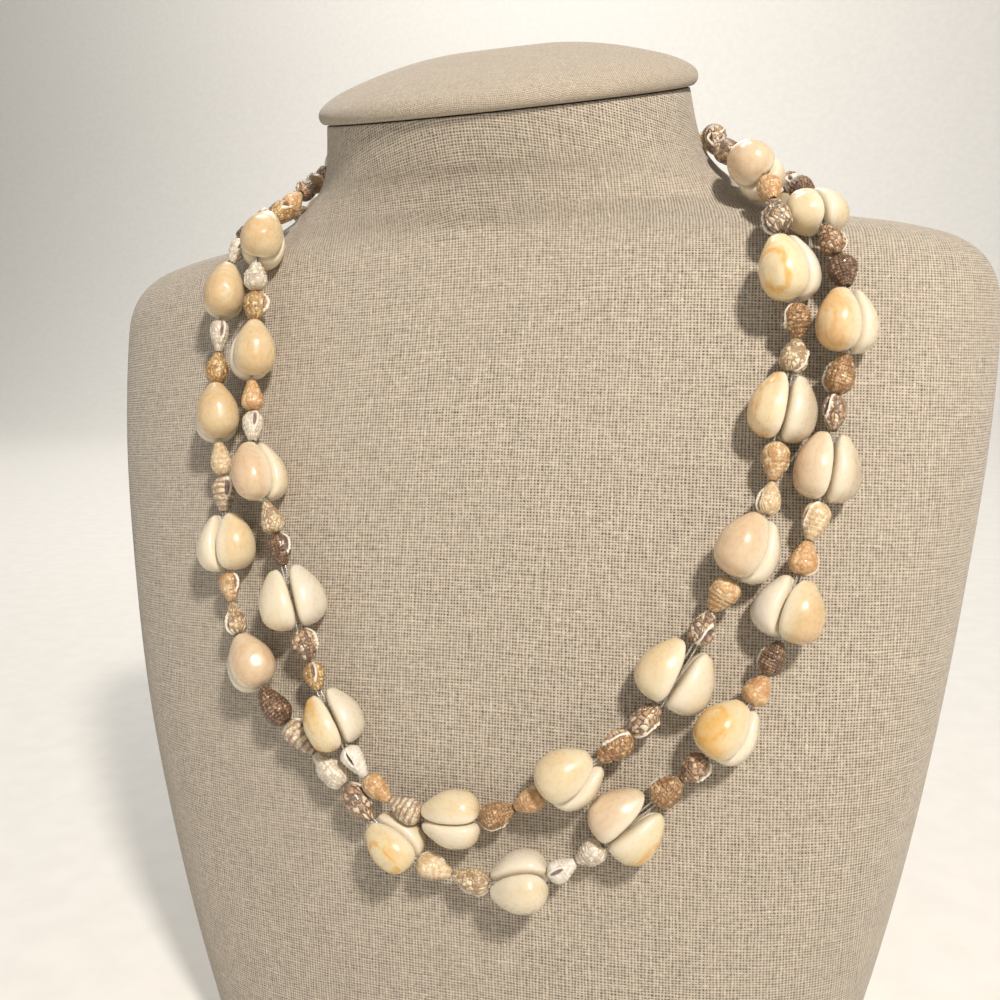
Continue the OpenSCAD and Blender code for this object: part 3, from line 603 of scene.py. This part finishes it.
line_tree, given, result = new_tree("line through the shells", Run="Geometry", Diameter="Float",
                                    Finish="Material")
as_curve = line_tree.nodes.new("GeometryNodeMeshToCurve")
section = line_tree.nodes.new("GeometryNodeCurvePrimitiveCircle")
section.inputs["Resolution"].default_value = 10
half = line_tree.nodes.new("ShaderNodeMath")
half.operation = "MULTIPLY"
half.inputs[1].default_value = 0.5
swept = line_tree.nodes.new("GeometryNodeCurveToMesh")
shaded = line_tree.nodes.new("GeometryNodeSetShadeSmooth")
real = line_tree.nodes.new("GeometryNodeRealizeInstances")
coated = line_tree.nodes.new("GeometryNodeSetMaterial")
for a, b in ((given["Run"], as_curve.inputs[0]), (given["Diameter"], half.inputs[0]),
             (half.outputs[0], section.inputs["Radius"]),
             (as_curve.outputs[0], swept.inputs["Curve"]),
             (section.outputs[0], swept.inputs["Profile Curve"]),
             (swept.outputs[0], shaded.inputs[0]),
             (shaded.outputs[0], real.inputs[0]), (real.outputs[0], coated.inputs[0]),
             (given["Finish"], coated.inputs["Material"]), (coated.outputs[0], result)):
    line_tree.links.new(a, b)

nylon = Finish("clear_nylon")
along_line = nylon.noise(nylon.node("ShaderNodeTexCoord").outputs["Object"], 900.0, 2.0)
nylon_colour = nylon.mix(nylon.band(along_line, 0.3, 0.7),
                         paint(226, 224, 214), paint(246, 245, 240))
nylon.shader_values(Base_Color=nylon_colour, Roughness=0.16, IOR=1.53, Transmission_Weight=0.75,
                    Specular_IOR_Level=0.6)
for name, strand, node in (("inner_clear_line", INNER, "inner_thread"),
                           ("outer_clear_line", OUTER, "outer_thread")):
    places, edges = [], []
    for side in (1, -1):
        run = line_places(strand, side) * MM
        first = len(places)
        places += list(run)
        edges += [(first + i, first + (i + 1) % len(run)) for i in range(len(run))]
    line = new_mesh(name, places, edges=edges)
    plain_mesh(line, line_tree, Diameter=LINE_DIAMETER * MM, Finish=nylon.made)
    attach(line, "root")
    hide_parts(node)

# The cowries: whole glossy shells, cream to tan with some yellow blotches, set two and two base
# to base with the line between them. Each is a thick-edged dome whose flat base has a toothed
# slit. The pattern shell is 1 wide, 1 long and 1 high.
cowrie_plan = np.array([
    # from the broad end to the tip: place, share of the width, where the base and the back are
    [0, 0.22, 0.17, 0.42], [0.025, 0.47, 0.10, 0.60], [0.075, 0.68, 0.045, 0.755],
    [0.155, 0.86, 0.012, 0.895], [0.27, 0.97, -0.008, 0.98], [0.39, 1.0, -0.012, 1.0],
    [0.51, 0.98, -0.012, 0.98], [0.63, 0.90, -0.010, 0.915], [0.74, 0.77, 0.0, 0.81],
    [0.84, 0.61, 0.025, 0.68], [0.92, 0.46, 0.07, 0.555], [0.97, 0.35, 0.115, 0.47],
    [1.0, 0.21, 0.16, 0.38]])
# half a section from the slit's bottom round the edge to the top of the back
cowrie_half = np.array([
    [0, 0.17], [0.045, 0.13], [0.06, 0.045], [0.11, 0.006], [0.30, 0.0], [0.55, 0.006], [0.76, 0.028],
    [0.90, 0.075], [0.975, 0.15], [1.0, 0.25], [0.99, 0.36], [0.94, 0.50], [0.85, 0.645], [0.70, 0.79],
    [0.48, 0.915], [0.24, 0.98], [0, 1.0]])


def hold(piece, name, values):
    """Keep a number or three for each place of the piece's mesh, under this name."""
    values = np.array(values, dtype=float)
    sort, field = ("FLOAT", "value") if values.ndim == 1 else ("FLOAT_VECTOR", "vector")
    piece.data.attributes.new(name, sort, "POINT").data.foreach_set(field, values.ravel())


def pattern_cowrie(name, hump, teeth):
    """One cowrie: its height swells at the hump, and its slit has so many teeth a side."""
    right = [smooth_row(cowrie_half, i / 2) for i in range(2 * len(cowrie_half) - 1)]
    whole = right + [(-a, b) for a, b in reversed(right[1:-1])]
    count, rings, finer, last = len(whole), 48, 60, len(cowrie_plan) - 1
    plan = np.array([smooth_row(cowrie_plan, last * i / finer) for i in range(finer + 1)])
    stations = np.interp(np.linspace(0, 1, rings), np.linspace(0, 1, finer + 1), plan[:, 0])
    wide, base, high = (np.interp(stations, plan[:, 0], plan[:, k]) for k in (1, 2, 3))
    places, back = [], []
    for y, w, low, top in zip(stations, wide, base, high):
        comb = 0.5 + 0.5 * math.cos(2 * math.pi * teeth * y)
        for a, b in whole:
            ridge = max(0.0, 1 - abs(abs(a) - 0.2) / 0.16) * (b < 0.1)
            swell = 1 + 0.045 * hump * math.exp(-((y - 0.34) / 0.18) ** 2) * b * b
            up = low + b * (top - low) * swell + 0.02 * ridge * comb
            lean = 0.025 * math.sin(3.0 * y + 1.0) * b
            places.append([a * w / 2 + lean, y, min(up, 1.0)])
            back.append(b)
    faces = tube_faces(rings, count)
    # each end is closed to a low point
    for ring, y, flip in ((0, -0.012, True), ((rings - 1) * count, 1.012, False)):
        middle = np.mean([places[ring + j] for j in range(count)], axis=0)
        places.append([middle[0], y, middle[2]])
        back.append(0.3)
        for j in range(count):
            pair = (ring + j, ring + (j + 1) % count)
            faces.append((len(places) - 1, *(reversed(pair) if flip else pair)))
    shell = new_mesh(name, places, faces)
    hold(shell, "back", back)
    hold(shell, "own_place", places)
    return shell


def right_way_out(piece):
    work = bmesh.new()
    work.from_mesh(piece.data)
    bmesh.ops.remove_doubles(work, verts=work.verts, dist=1e-7)
    bmesh.ops.recalc_face_normals(work, faces=work.faces)
    work.to_mesh(piece.data)
    work.free()


def pattern_group(name, shells):
    """Patterns for stringing, kept together and off the object."""
    group = bpy.data.collections.new(name)
    bpy.context.scene.collection.children.link(group)
    for shell in shells:
        right_way_out(shell)
        bpy.context.scene.collection.objects.unlink(shell)
        group.objects.link(shell)
    return group


string_tree, given, result = new_tree("shells set on a strand", Places="Geometry",
                                      Patterns="Collection", Finish="Material")
patterns = string_tree.nodes.new("GeometryNodeCollectionInfo")
patterns.inputs["Separate Children"].default_value = True
patterns.inputs["Reset Children"].default_value = True
named = {}
for key, sort in (("which", "INT"), ("turned", "FLOAT_VECTOR"), ("sized", "FLOAT_VECTOR")):
    named[key] = string_tree.nodes.new("GeometryNodeInputNamedAttribute")
    named[key].data_type = sort
    named[key].inputs["Name"].default_value = key
turner = string_tree.nodes.new("FunctionNodeEulerToRotation")
setter = string_tree.nodes.new("GeometryNodeInstanceOnPoints")
setter.inputs["Pick Instance"].default_value = True
real = string_tree.nodes.new("GeometryNodeRealizeInstances")
coated = string_tree.nodes.new("GeometryNodeSetMaterial")
for a, b in ((given["Places"], setter.inputs["Points"]),
             (given["Patterns"], patterns.inputs["Collection"]),
             (patterns.outputs[0], setter.inputs["Instance"]),
             (named["which"].outputs["Attribute"], setter.inputs["Instance Index"]),
             (named["turned"].outputs["Attribute"], turner.inputs[0]),
             (turner.outputs[0], setter.inputs["Rotation"]),
             (named["sized"].outputs["Attribute"], setter.inputs["Scale"]),
             (setter.outputs[0], real.inputs[0]), (real.outputs[0], coated.inputs[0]),
             (given["Finish"], coated.inputs["Material"]), (coated.outputs[0], result)):
    string_tree.links.new(a, b)


def strung(name, rows, patterns, finish):
    """One piece from rows of: place, x, y and z directions, size, which pattern, what it holds."""
    piece = new_mesh(name, [row[0] * MM for row in rows])
    hold(piece, "turned", [Matrix([tuple(way) for way in row[1:4]]).transposed().to_euler("XYZ")[:]
                           for row in rows])
    hold(piece, "sized", [np.array(row[4]) * MM for row in rows])
    for key in rows[0][6]:
        hold(piece, key, [row[6][key] for row in rows])
    which = piece.data.attributes.new("which", "INT", "POINT")
    which.data.foreach_set("value", [row[5] for row in rows])
    plain_mesh(piece, string_tree, Patterns=patterns, Finish=finish)
    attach(piece, "root")
    return piece


# ground colour, mark colour, how much of the back the marks take, thin streaks, and the ring that
# many of them carry round the top of the back
COWRIE_COLOURS = {
    "cream": ((222, 206, 172), (214, 182, 130), 0.50, 0.15, 0.1),
    "ivory": ((223, 210, 184), (214, 188, 144), 0.50, 0.15, 0.0),
    "white": ((222, 213, 196), (206, 190, 162), 0.45, 0.15, 0.0),
    "tan": ((214, 193, 154), (204, 168, 120), 0.60, 0.25, 0.2),
    "peach": ((217, 195, 164), (206, 168, 128), 0.55, 0.2, 0.25),
    "grey": ((210, 196, 170), (172, 152, 126), 0.55, 0.25, 0.0),
    "blotched": ((222, 206, 168), (220, 172, 92), 0.9, 0.1, 0.8),
    "streaked": ((221, 200, 160), (210, 156, 84), 0.65, 0.8, 0.35)}
cowrie = Finish("cowrie_enamel")
ground, marks = cowrie.held("ground", "Color"), cowrie.held("marks", "Color")
much, streak, ring = cowrie.parts(cowrie.held("wear"))
seed, _, _ = cowrie.parts(cowrie.held("seed"))
back, own = cowrie.held("back", "Fac"), cowrie.held("own_place")
where = cowrie.vector("ADD", own, cowrie.xyz(seed, cowrie.times(seed, 1.7), seed))
# wide soft patches of colour, thin streaks along the shell, and the ring, broken here and there
cloud = cowrie.noise(where, 1.15, 1.0, 0.4, 0.2)
ax, ay, az = cowrie.parts(where)
drawn_out = cowrie.xyz(cowrie.times(ax, 7.0), cowrie.times(ay, 1.4), cowrie.times(az, 5.0))
bands = cowrie.noise(drawn_out, 1.3, 2.0, 0.5, 0.8)
ox, oy, _ = cowrie.parts(own)
ring_x = cowrie.sum("POWER", cowrie.sum("DIVIDE", cowrie.sum("ABSOLUTE", ox), 0.29), 2.0)
ring_y = cowrie.sum("DIVIDE", cowrie.sum("SUBTRACT", oy, 0.43), 0.30)
ring_y = cowrie.sum("POWER", cowrie.sum("ABSOLUTE", ring_y), 2.0)
ring_r = cowrie.sum("SQRT", cowrie.sum("ADD", ring_x, ring_y))
ring_r = cowrie.sum("ADD", ring_r, cowrie.band(cloud, 0.2, 0.8, -0.25, 0.25))
hoop = cowrie.band(cowrie.sum("ABSOLUTE", cowrie.sum("SUBTRACT", ring_r, 1.0)), 0.26, 0.04)
on_back = cowrie.band(back, 0.24, 0.70)
share = cowrie.times(cowrie.band(cloud, 0.38, 0.66), much, on_back)
stripe = cowrie.times(cowrie.band(bands, 0.52, 0.66, 0.0, 0.7), streak, on_back)
hoop = cowrie.times(hoop, ring, on_back, cowrie.band(bands, 0.36, 0.52))
colour = cowrie.mix(share, ground, marks)
colour = cowrie.mix(stripe, colour, marks)
colour = cowrie.mix(hoop, colour, cowrie.mix(1.0, marks, (1.0, 0.92, 0.70), "MULTIPLY"))
grain = cowrie.noise(where, 9.0, 3.0, 0.6)
colour = cowrie.mix(cowrie.band(grain, 0.45, 0.8, 0.0, 0.18), colour, paint(240, 228, 200))
specks = cowrie.noise(where, 30.0, 2.0, 0.7)
speckled = cowrie.times(cowrie.band(specks, 0.72, 0.78), 0.16)
colour = cowrie.mix(speckled, colour, paint(150, 104, 66))
# the thick edge and the base are paler
colour = cowrie.mix(cowrie.band(back, 0.06, 0.62, 0.85, 0.0), colour, paint(230, 218, 194))
cowrie.shader_values(Base_Color=colour, Roughness=cowrie.band(grain, 0.3, 0.7, 0.24, 0.38), IOR=1.5,
                     Coat_Weight=0.35, Coat_Roughness=0.12, Specular_IOR_Level=0.45,
                     Subsurface_Weight=0.12, Subsurface_Scale=0.002)
cowrie.shader.inputs["Subsurface Radius"].default_value = (1.0, 0.7, 0.4)
swells = cowrie.noise(where, 3.5, 2.0)
cowrie.relief(cowrie.sum("ADD", cowrie.times(grain, 0.25), swells), 0.12 * MM, 0.45)

# each cowrie of a pair leans out by this share of the pair's spread
PAIR_LEAN = 0.32
patterns = pattern_group("cowrie patterns", [
    pattern_cowrie("cowrie_a", 0.0, 15), pattern_cowrie("cowrie_b", 0.9, 13),
    pattern_cowrie("cowrie_c", -0.9, 16)])
for strand, prefix in STRANDS:
    number = 0
    for i, item in enumerate(strand[0]):
        if item[0] != PAIR:
            continue
        number += 1
        _, taken, width, height, turn, spread, way = item[:7]
        middle, along, away, side = frame_at(strand, i)
        length = taken - END_PLAY
        turn, lean = math.radians(turn), math.radians(PAIR_LEAN * spread)
        rows = []
        for s, shade in ((1, item[7]), (-1, item[8])):
            stack = s * (side * math.cos(turn) + away * math.sin(turn))
            tips = along * way
            out = stack * math.cos(lean) - tips * math.sin(lean)
            ahead = tips * math.cos(lean) + stack * math.sin(lean)
            heel = middle - tips * length / 2 + stack * PAIR_GAP / 2
            base, mark, *wear = COWRIE_COLOURS[shade]
            # each shell's lot picks its pattern and shifts its shade and blotches
            lot = (i * 7 + (3 if s > 0 else 0) + (0 if prefix == "inner" else 5)) % 11
            drift = 1 + 0.035 * math.sin(2.1 * lot + i)
            held = {"ground": tinted(paint(*base), drift), "marks": paint(*mark), "wear": wear,
                    "seed": (1.3 * lot + 0.37 * i, 0, 0)}
            rows.append((heel, np.cross(ahead, out), ahead, out, (width, length, height), lot % 3, held))
        pair = strung(f"{prefix}_cowries_{number:02d}", rows, patterns, cowrie.made)
        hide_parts(f"{prefix}_pair_{number:02d}")

# The small shells: little sea snails, drilled from tip to foot and threaded between the pairs.
# Spire shells are slim, round ones are squat, and each has a long narrow mouth with a thick pale
# lip on its outer side. Pattern shells are 1 across and 1 long, tip first.
SHELL_SORTS = (
    # name, share of the length that is spire, whorls, depth of the seams, share of the radius at
    # the tip, half width and half length of the mouth
    ("slim", 0.46, 4.5, 0.10, 0.30, 0.20, 0.27), ("cone", 0.56, 5.0, 0.06, 0.27, 0.17, 0.24),
    ("squat", 0.40, 3.5, 0.12, 0.34, 0.28, 0.27), ("netted", 0.42, 4.0, 0.13, 0.32, 0.24, 0.26))
SLIM, CONE, SQUAT, NETTED = range(len(SHELL_SORTS))
# radius of the drilled hole, place of the mouth's middle along the shell, height of the lip, depth
# of the mouth, and how far the lip may stand out
BORE, MOUTH_AT, LIP_RISE, MOUTH_DEPTH, LIP_LIMIT = 0.115, 0.68, 0.17, 0.32, 1.13
# how far each end reaches into the play between shells, in millimetres
SNAIL_OVER = 0.3


def pattern_snail(name, spire, whorls, seam, tip, mouth_wide, mouth_long):
    """One small shell, with its coiled seam, its mouth and the drilled hole down its middle."""
    columns, rows = 48, 42
    places, lips, mouth_shade, own = [], [], [], []
    # the columns stand closer together at the mouth, which faces +Y
    spread = np.linspace(-1, 1, columns, endpoint=False)
    turns = math.pi * (0.5 * spread + 0.5 * spread ** 3)
    for i in range(rows):
        z = i / (rows - 1)
        # outline: tip, spire, swelling body, then drawn in to the foot
        if z < spire:
            r = tip + (0.92 - tip) * (z / spire) ** 0.8
        else:
            f = (z - spire) / (1 - spire)
            r = 0.92 + 0.08 * math.sin(math.pi * min(f / 0.6, 1) / 2)
            r -= 0.62 * ((f - 0.4) / 0.6) ** 2.3 if f > 0.4 else 0
        turn_at = whorls * (1 - (1 - min(z / (spire + 0.12), 1)) ** 0.75)
        for da in turns:
            a = da + math.pi / 2
            phase = (turn_at - a / (2 * math.pi)) % 1
            gap = min(phase, 1 - phase)
            fade = max(0.0, min(1.0, (spire + 0.16 - z) / 0.10))
            out = r * (1 - seam * fade * math.exp(-(gap / 0.10) ** 2)
                       + 0.03 * fade * math.sin(math.pi * phase))
            # the mouth leans a little, and its outer lip stands proud
            across = (da * r - 0.22 * (z - MOUTH_AT)) / mouth_wide
            length = (z - MOUTH_AT) / mouth_long
            e = across ** 2 + length ** 2
            mouth = max(0.0, 1 - e)
            outer = math.exp(-((math.sqrt(e) - 1.28) / 0.34) ** 2)
            lip = outer * (1.0 if across > 0 else 0.4) * (1 if e < 9 else 0)
            out += LIP_RISE * lip - MOUTH_DEPTH * mouth ** 0.5 * (r > 0.42)
            out = max(min(out, LIP_LIMIT), BORE * 2 + 0.06)
            places.append([out / 2 * math.cos(a), out / 2 * math.sin(a), z])
            lips.append(lip)
            # painted shade inside the mouth, darkest where it is deepest
            mouth_shade.append(mouth ** 0.5)
            own.append([math.cos(a) * 0.5, math.sin(a) * 0.5, 1.35 * z])
    # the drilled hole, back from the foot to the tip
    for z in (1.0, 0.5, 0.0):
        for da in turns:
            a = da + math.pi / 2
            places.append([BORE * math.cos(a), BORE * math.sin(a), z])
            lips.append(0.3)
            # painted shade in the drilled hole, lighter than in the mouth
            mouth_shade.append(0.35)
            own.append([math.cos(a) * 0.2, math.sin(a) * 0.2, z])
    shell = new_mesh(name, places, tube_faces(rows + 3, columns, closed=True))
    hold(shell, "lip", lips)
    hold(shell, "mouth", mouth_shade)
    hold(shell, "own_place", own)
    return shell


# ground, pale spots, dark net, how strong the net is, how much is striped, size of its meshes, and
# how strongly the skin is beaded
SNAIL_COLOURS = {
    "mottled": ((190, 146, 104), (238, 220, 190), (82, 50, 32), 1.0, 0.15, 4.6, 0.2),
    "brown": ((164, 112, 74), (226, 196, 158), (72, 42, 28), 0.95, 0.15, 4.8, 0.2),
    "dark": ((112, 68, 48), (196, 160, 124), (52, 32, 26), 0.95, 0.1, 6.0, 0.9),
    "tan": ((206, 162, 108), (234, 210, 168), (150, 100, 56), 0.60, 0.15, 4.4, 0.15),
    "orange": ((204, 154, 98), (232, 202, 156), (160, 100, 54), 0.55, 0.1, 4.2, 0.15),
    "gold": ((204, 160, 96), (236, 212, 160), (132, 84, 40), 0.85, 0.2, 4.8, 0.2),
    "sand": ((218, 190, 146), (238, 222, 188), (172, 130, 84), 0.50, 0.2, 4.2, 0.1),
    "pale": ((224, 212, 190), (238, 230, 214), (150, 126, 102), 0.55, 0.1, 4.2, 0.1),
    "clear": ((224, 214, 198), (240, 234, 222), (176, 160, 148), 0.25, 0.0, 5.0, 0.0),
    "spotted": ((220, 196, 154), (240, 226, 194), (130, 88, 50), 0.85, 0.0, 5.6, 0.1),
    "striped": ((222, 198, 158), (240, 226, 200), (108, 72, 48), 0.6, 0.7, 4.6, 0.1),
    "ribbed": ((188, 136, 84), (232, 200, 152), (104, 62, 36), 0.85, 0.3, 5.2, 0.55)}
snail = Finish("small_shell_skin")
ground, pale, marks = (snail.held(name, "Color") for name in ("ground", "pale", "marks"))
netted, striping, fine = snail.parts(snail.held("wear"))
seed, beaded, _ = snail.parts(snail.held("seed"))
lip, mouth, own = snail.held("lip", "Fac"), snail.held("mouth", "Fac"), snail.held("own_place")
where = snail.vector("ADD", own, snail.xyz(seed, seed, seed))
bent = snail.noise(where, 6.0, 3.0)
bends = snail.xyz(snail.times(bent, 0.20), 0.0, snail.times(bent, 0.22))
crooked = snail.vector("ADD", where, bends)
edge, _ = snail.cells(crooked, fine, "DISTANCE_TO_EDGE")
_, tone = snail.cells(crooked, fine)
tone_x, tone_y, _ = snail.parts(tone)
patch = snail.noise(where, 2.4, 3.0, 0.6, 0.8)
small = snail.noise(where, 14.0, 3.0, 0.65)
# the net: meshes from pale to ground colour between dark crooked lines, thicker in some places
mesh_colour = snail.mix(snail.band(tone_x, 0.25, 0.75), ground, pale)
width = snail.band(patch, 0.3, 0.7, 0.07, 0.24)
line_here = snail.sum("SUBTRACT", 1.0, snail.band(edge, snail.times(width, 0.35), width))
whole_dark = snail.band(tone_y, 0.72, 0.80)
net = snail.sum("MAXIMUM", line_here, whole_dark)
net = snail.times(net, snail.band(patch, 0.25, 0.55, 0.55, 1.0))
plain_colour = snail.mix(snail.band(patch, 0.40, 0.62), pale, ground)
colour = snail.mix(snail.band(netted, 0.25, 0.7), plain_colour, mesh_colour)
colour = snail.mix(snail.times(net, netted), colour, marks)
px, py, pz = snail.parts(own)
wave = snail.sum("SINE", snail.sum("ADD", snail.times(pz, 27.0), snail.times(patch, 7.0)))
colour = snail.mix(snail.times(snail.band(wave, 0.05, 0.6), striping), colour, marks)
# beads in rows round the shell
round_it = snail.sum("ARCTAN2", py, px)
row_z = snail.sum("ADD", snail.times(pz, 56.0), round_it)
bead = snail.times(*(snail.sum("MULTIPLY_ADD", snail.sum("SINE", way), 0.5, 0.5)
                     for way in (snail.times(round_it, 18.0), row_z)))
not_lip = snail.sum("SUBTRACT", 1.0, snail.band(lip, 0.25, 0.6))
beads = snail.times(bead, beaded, not_lip)
colour = snail.mix(snail.times(snail.band(bead, 0.22, 0.0, 0.0, 0.85), beaded), colour, marks)
colour = snail.mix(snail.band(beads, 0.4, 0.9, 0.0, 0.45), colour, pale)
colour = snail.mix(snail.band(small, 0.62, 0.3, 0.2, 0.0), colour, pale)
colour = snail.mix(snail.band(lip, 0.26, 0.60, 0.0, 0.94), colour, paint(236, 228, 212))
# painted shade inside the mouth and the drilled hole
colour = snail.mix(snail.band(mouth, 0.25, 0.8, 0.0, 0.9), colour, paint(120, 98, 96))
snail.shader_values(Base_Color=colour, Roughness=snail.band(small, 0.3, 0.7, 0.28, 0.46), IOR=1.5,
                    Coat_Weight=0.25, Coat_Roughness=0.15, Subsurface_Weight=0.06,
                    Subsurface_Scale=0.0015)
nodules = snail.times(snail.band(edge, 0.0, 0.32), netted, not_lip)
snail.relief(snail.sum("ADD", snail.times(small, 0.35),
                       snail.sum("ADD", snail.times(nodules, 1.1), snail.times(beads, 1.4))),
             0.28 * MM, 0.8)

patterns = pattern_group("snail patterns", [
    pattern_snail(f"snail_{k}_{row[0]}", *row[1:]) for k, row in enumerate(SHELL_SORTS)])
for strand, prefix in STRANDS:
    rows = []
    for i, item in enumerate(strand[0]):
        if item[0] not in (SPIRE, ROUND):
            continue
        kind, taken, across, way, shade, roll = item
        middle, along, away, side = frame_at(strand, i)
        length = taken - END_PLAY + 2 * SNAIL_OVER
        z = along * way
        # roll 0 turns the mouth away from the cloth
        roll = math.radians(roll)
        y = away * math.cos(roll) + np.cross(z, away) * math.sin(roll)
        x = np.cross(y, z)
        base, light, mark, net, striped, fineness, beads = SNAIL_COLOURS[shade]
        if kind == SPIRE:
            sort = CONE if (i * 5) % 3 == 0 else SLIM
        else:
            sort = NETTED if shade in ("ribbed", "dark") or i % 3 == 0 else SQUAT
        drift = 1 + 0.06 * math.sin(1.7 * i)
        lot = 2.7 * i + (0 if prefix == "inner" else 40)
        held = {"ground": tinted(paint(*base), drift), "pale": paint(*light), "marks": paint(*mark),
                "wear": (net, striped, fineness), "seed": (lot, beads, 0)}
        rows.append((middle - z * length / 2, x, y, z, (across, across, length), sort, held))
    shells = strung(f"{prefix}_drilled_snails", rows, patterns, snail.made)
    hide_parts(f"{prefix}_small_shells")
# every shell is strung, so the pattern shells are cleared away
for group in [g for g in bpy.data.collections if g.name.endswith("patterns")]:
    for shell in list(group.objects):
        bpy.data.objects.remove(shell)
    bpy.data.collections.remove(group)

# The knots: behind the neck the ends of each strand's nylon line are tied together and pulled
# into a small hard bead. The line winds round the strand's own middle and back again.
knot_turns, knot_count = 5, 240
for strand, prefix in STRANDS:
    i = [item[0] for item in strand[0]].index(KNOT)
    middle, along, away, side = frame_at(strand, i)
    places, edges = [], []
    for k in range(knot_count):
        a = 2 * math.pi * k / knot_count
        reach = 1.35 + 0.28 * math.cos(a * knot_turns * 2)
        round_it = a * 2 + 0.3 * math.sin(knot_turns * a)
        spot = (middle + along * (1.45 * math.sin(a * knot_turns) * 0.9)
                + side * reach * math.cos(round_it) + away * reach * math.sin(round_it))
        places.append(spot * MM)
        edges.append((k, (k + 1) % knot_count))
    tied = new_mesh(f"{prefix}_tied_knot", places, edges=edges)
    plain_mesh(tied, line_tree, Diameter=LINE_DIAMETER * MM, Finish=nylon.made)
    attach(tied, "root")
    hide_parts(f"{prefix}_knot")

# The studio: a pale floor that sweeps up far behind, a key light from the upper right in front, a
# wide soft fill from the left, and the camera where the photograph was taken.
bend = [math.radians(a) for a in range(5, 95, 5)]
sweep = [(-9.0, 0.0), (2.0, 0.0),
         *((2.0 + 1.2 * math.sin(a), 1.2 - 1.2 * math.cos(a)) for a in bend), (3.2, 4.0)]
floor = new_mesh("pale_floor", [(x, y, z) for y, z in sweep for x in (-9, 9)],
                 [(2 * i, 2 * i + 1, 2 * i + 3, 2 * i + 2) for i in range(len(sweep) - 1)])
plain = Finish("pale_paper")
spot = plain.noise(plain.node("ShaderNodeTexCoord").outputs["Object"], 60.0, 3.0)
paper = plain.mix(plain.band(spot, 0.3, 0.7), paint(224, 221, 215), paint(228, 225, 219))
plain.shader_values(Base_Color=paper, Roughness=0.9)
floor.data.materials.append(plain.made)
world = bpy.data.worlds.new("studio")
world.use_nodes = True
world.node_tree.nodes["Background"].inputs["Color"].default_value = (0.92, 0.91, 0.9, 1)
world.node_tree.nodes["Background"].inputs["Strength"].default_value = 0.31
bpy.context.scene.world = world


def softbox(name, place, aim, size, power, colour):
    lamp = bpy.data.lights.new(name, "AREA")
    lamp.shape, lamp.size, lamp.energy, lamp.color = "DISK", size, power, colour
    stand = bpy.data.objects.new(name, lamp)
    stand.location = place
    stand.rotation_euler = (Vector(aim) - Vector(place)).to_track_quat("-Z", "Y").to_euler()
    bpy.context.scene.collection.objects.link(stand)


softbox("key", (0.55, -0.70, 0.95), (0.0, -0.02, 0.2), 0.13, 14.5, (1.0, 0.93, 0.85))
softbox("fill", (-0.95, -1.0, 0.55), (0.0, 0.0, 0.2), 1.1, 2.0, (0.97, 0.98, 1.0))
softbox("rim", (-0.3, 0.95, 0.9), (0.0, 0.0, 0.25), 0.6, 2.2, (1.0, 0.98, 0.95))
softbox("backdrop_light", (-0.6, 1.1, 2.4), (-0.8, 3.0, 0.5), 1.2, 60.0, (1.0, 0.98, 0.95))

# the camera: turned, tipped down and tilted, and what it is aimed at, how far off, in millimetres
turn, down, tilt = math.radians(16.8), math.radians(9.3), math.radians(2.0)
aim, distance = np.array([11.1, -43.5, 190.8]), 275
level = np.array([math.cos(turn), math.sin(turn), 0.0])
ahead = np.array([-math.sin(turn) * math.cos(down), math.cos(turn) * math.cos(down),
                  -math.sin(down)])
upward = np.cross(level, ahead)
right = math.cos(tilt) * level - math.sin(tilt) * upward
up = math.sin(tilt) * level + math.cos(tilt) * upward
eye = (aim - distance * ahead) * MM
lens = bpy.data.cameras.new("camera")
lens.sensor_width, lens.lens = 36.0, 36.0 * 1.001
lens.clip_start = 0.01
camera = bpy.data.objects.new("camera", lens)
camera.matrix_world = Matrix([[right[k], up[k], -ahead[k], eye[k]] for k in range(3)]
                             + [[0, 0, 0, 1]])
bpy.context.scene.collection.objects.link(camera)
bpy.context.scene.camera = camera
bpy.context.scene.view_settings.view_transform = "Standard"
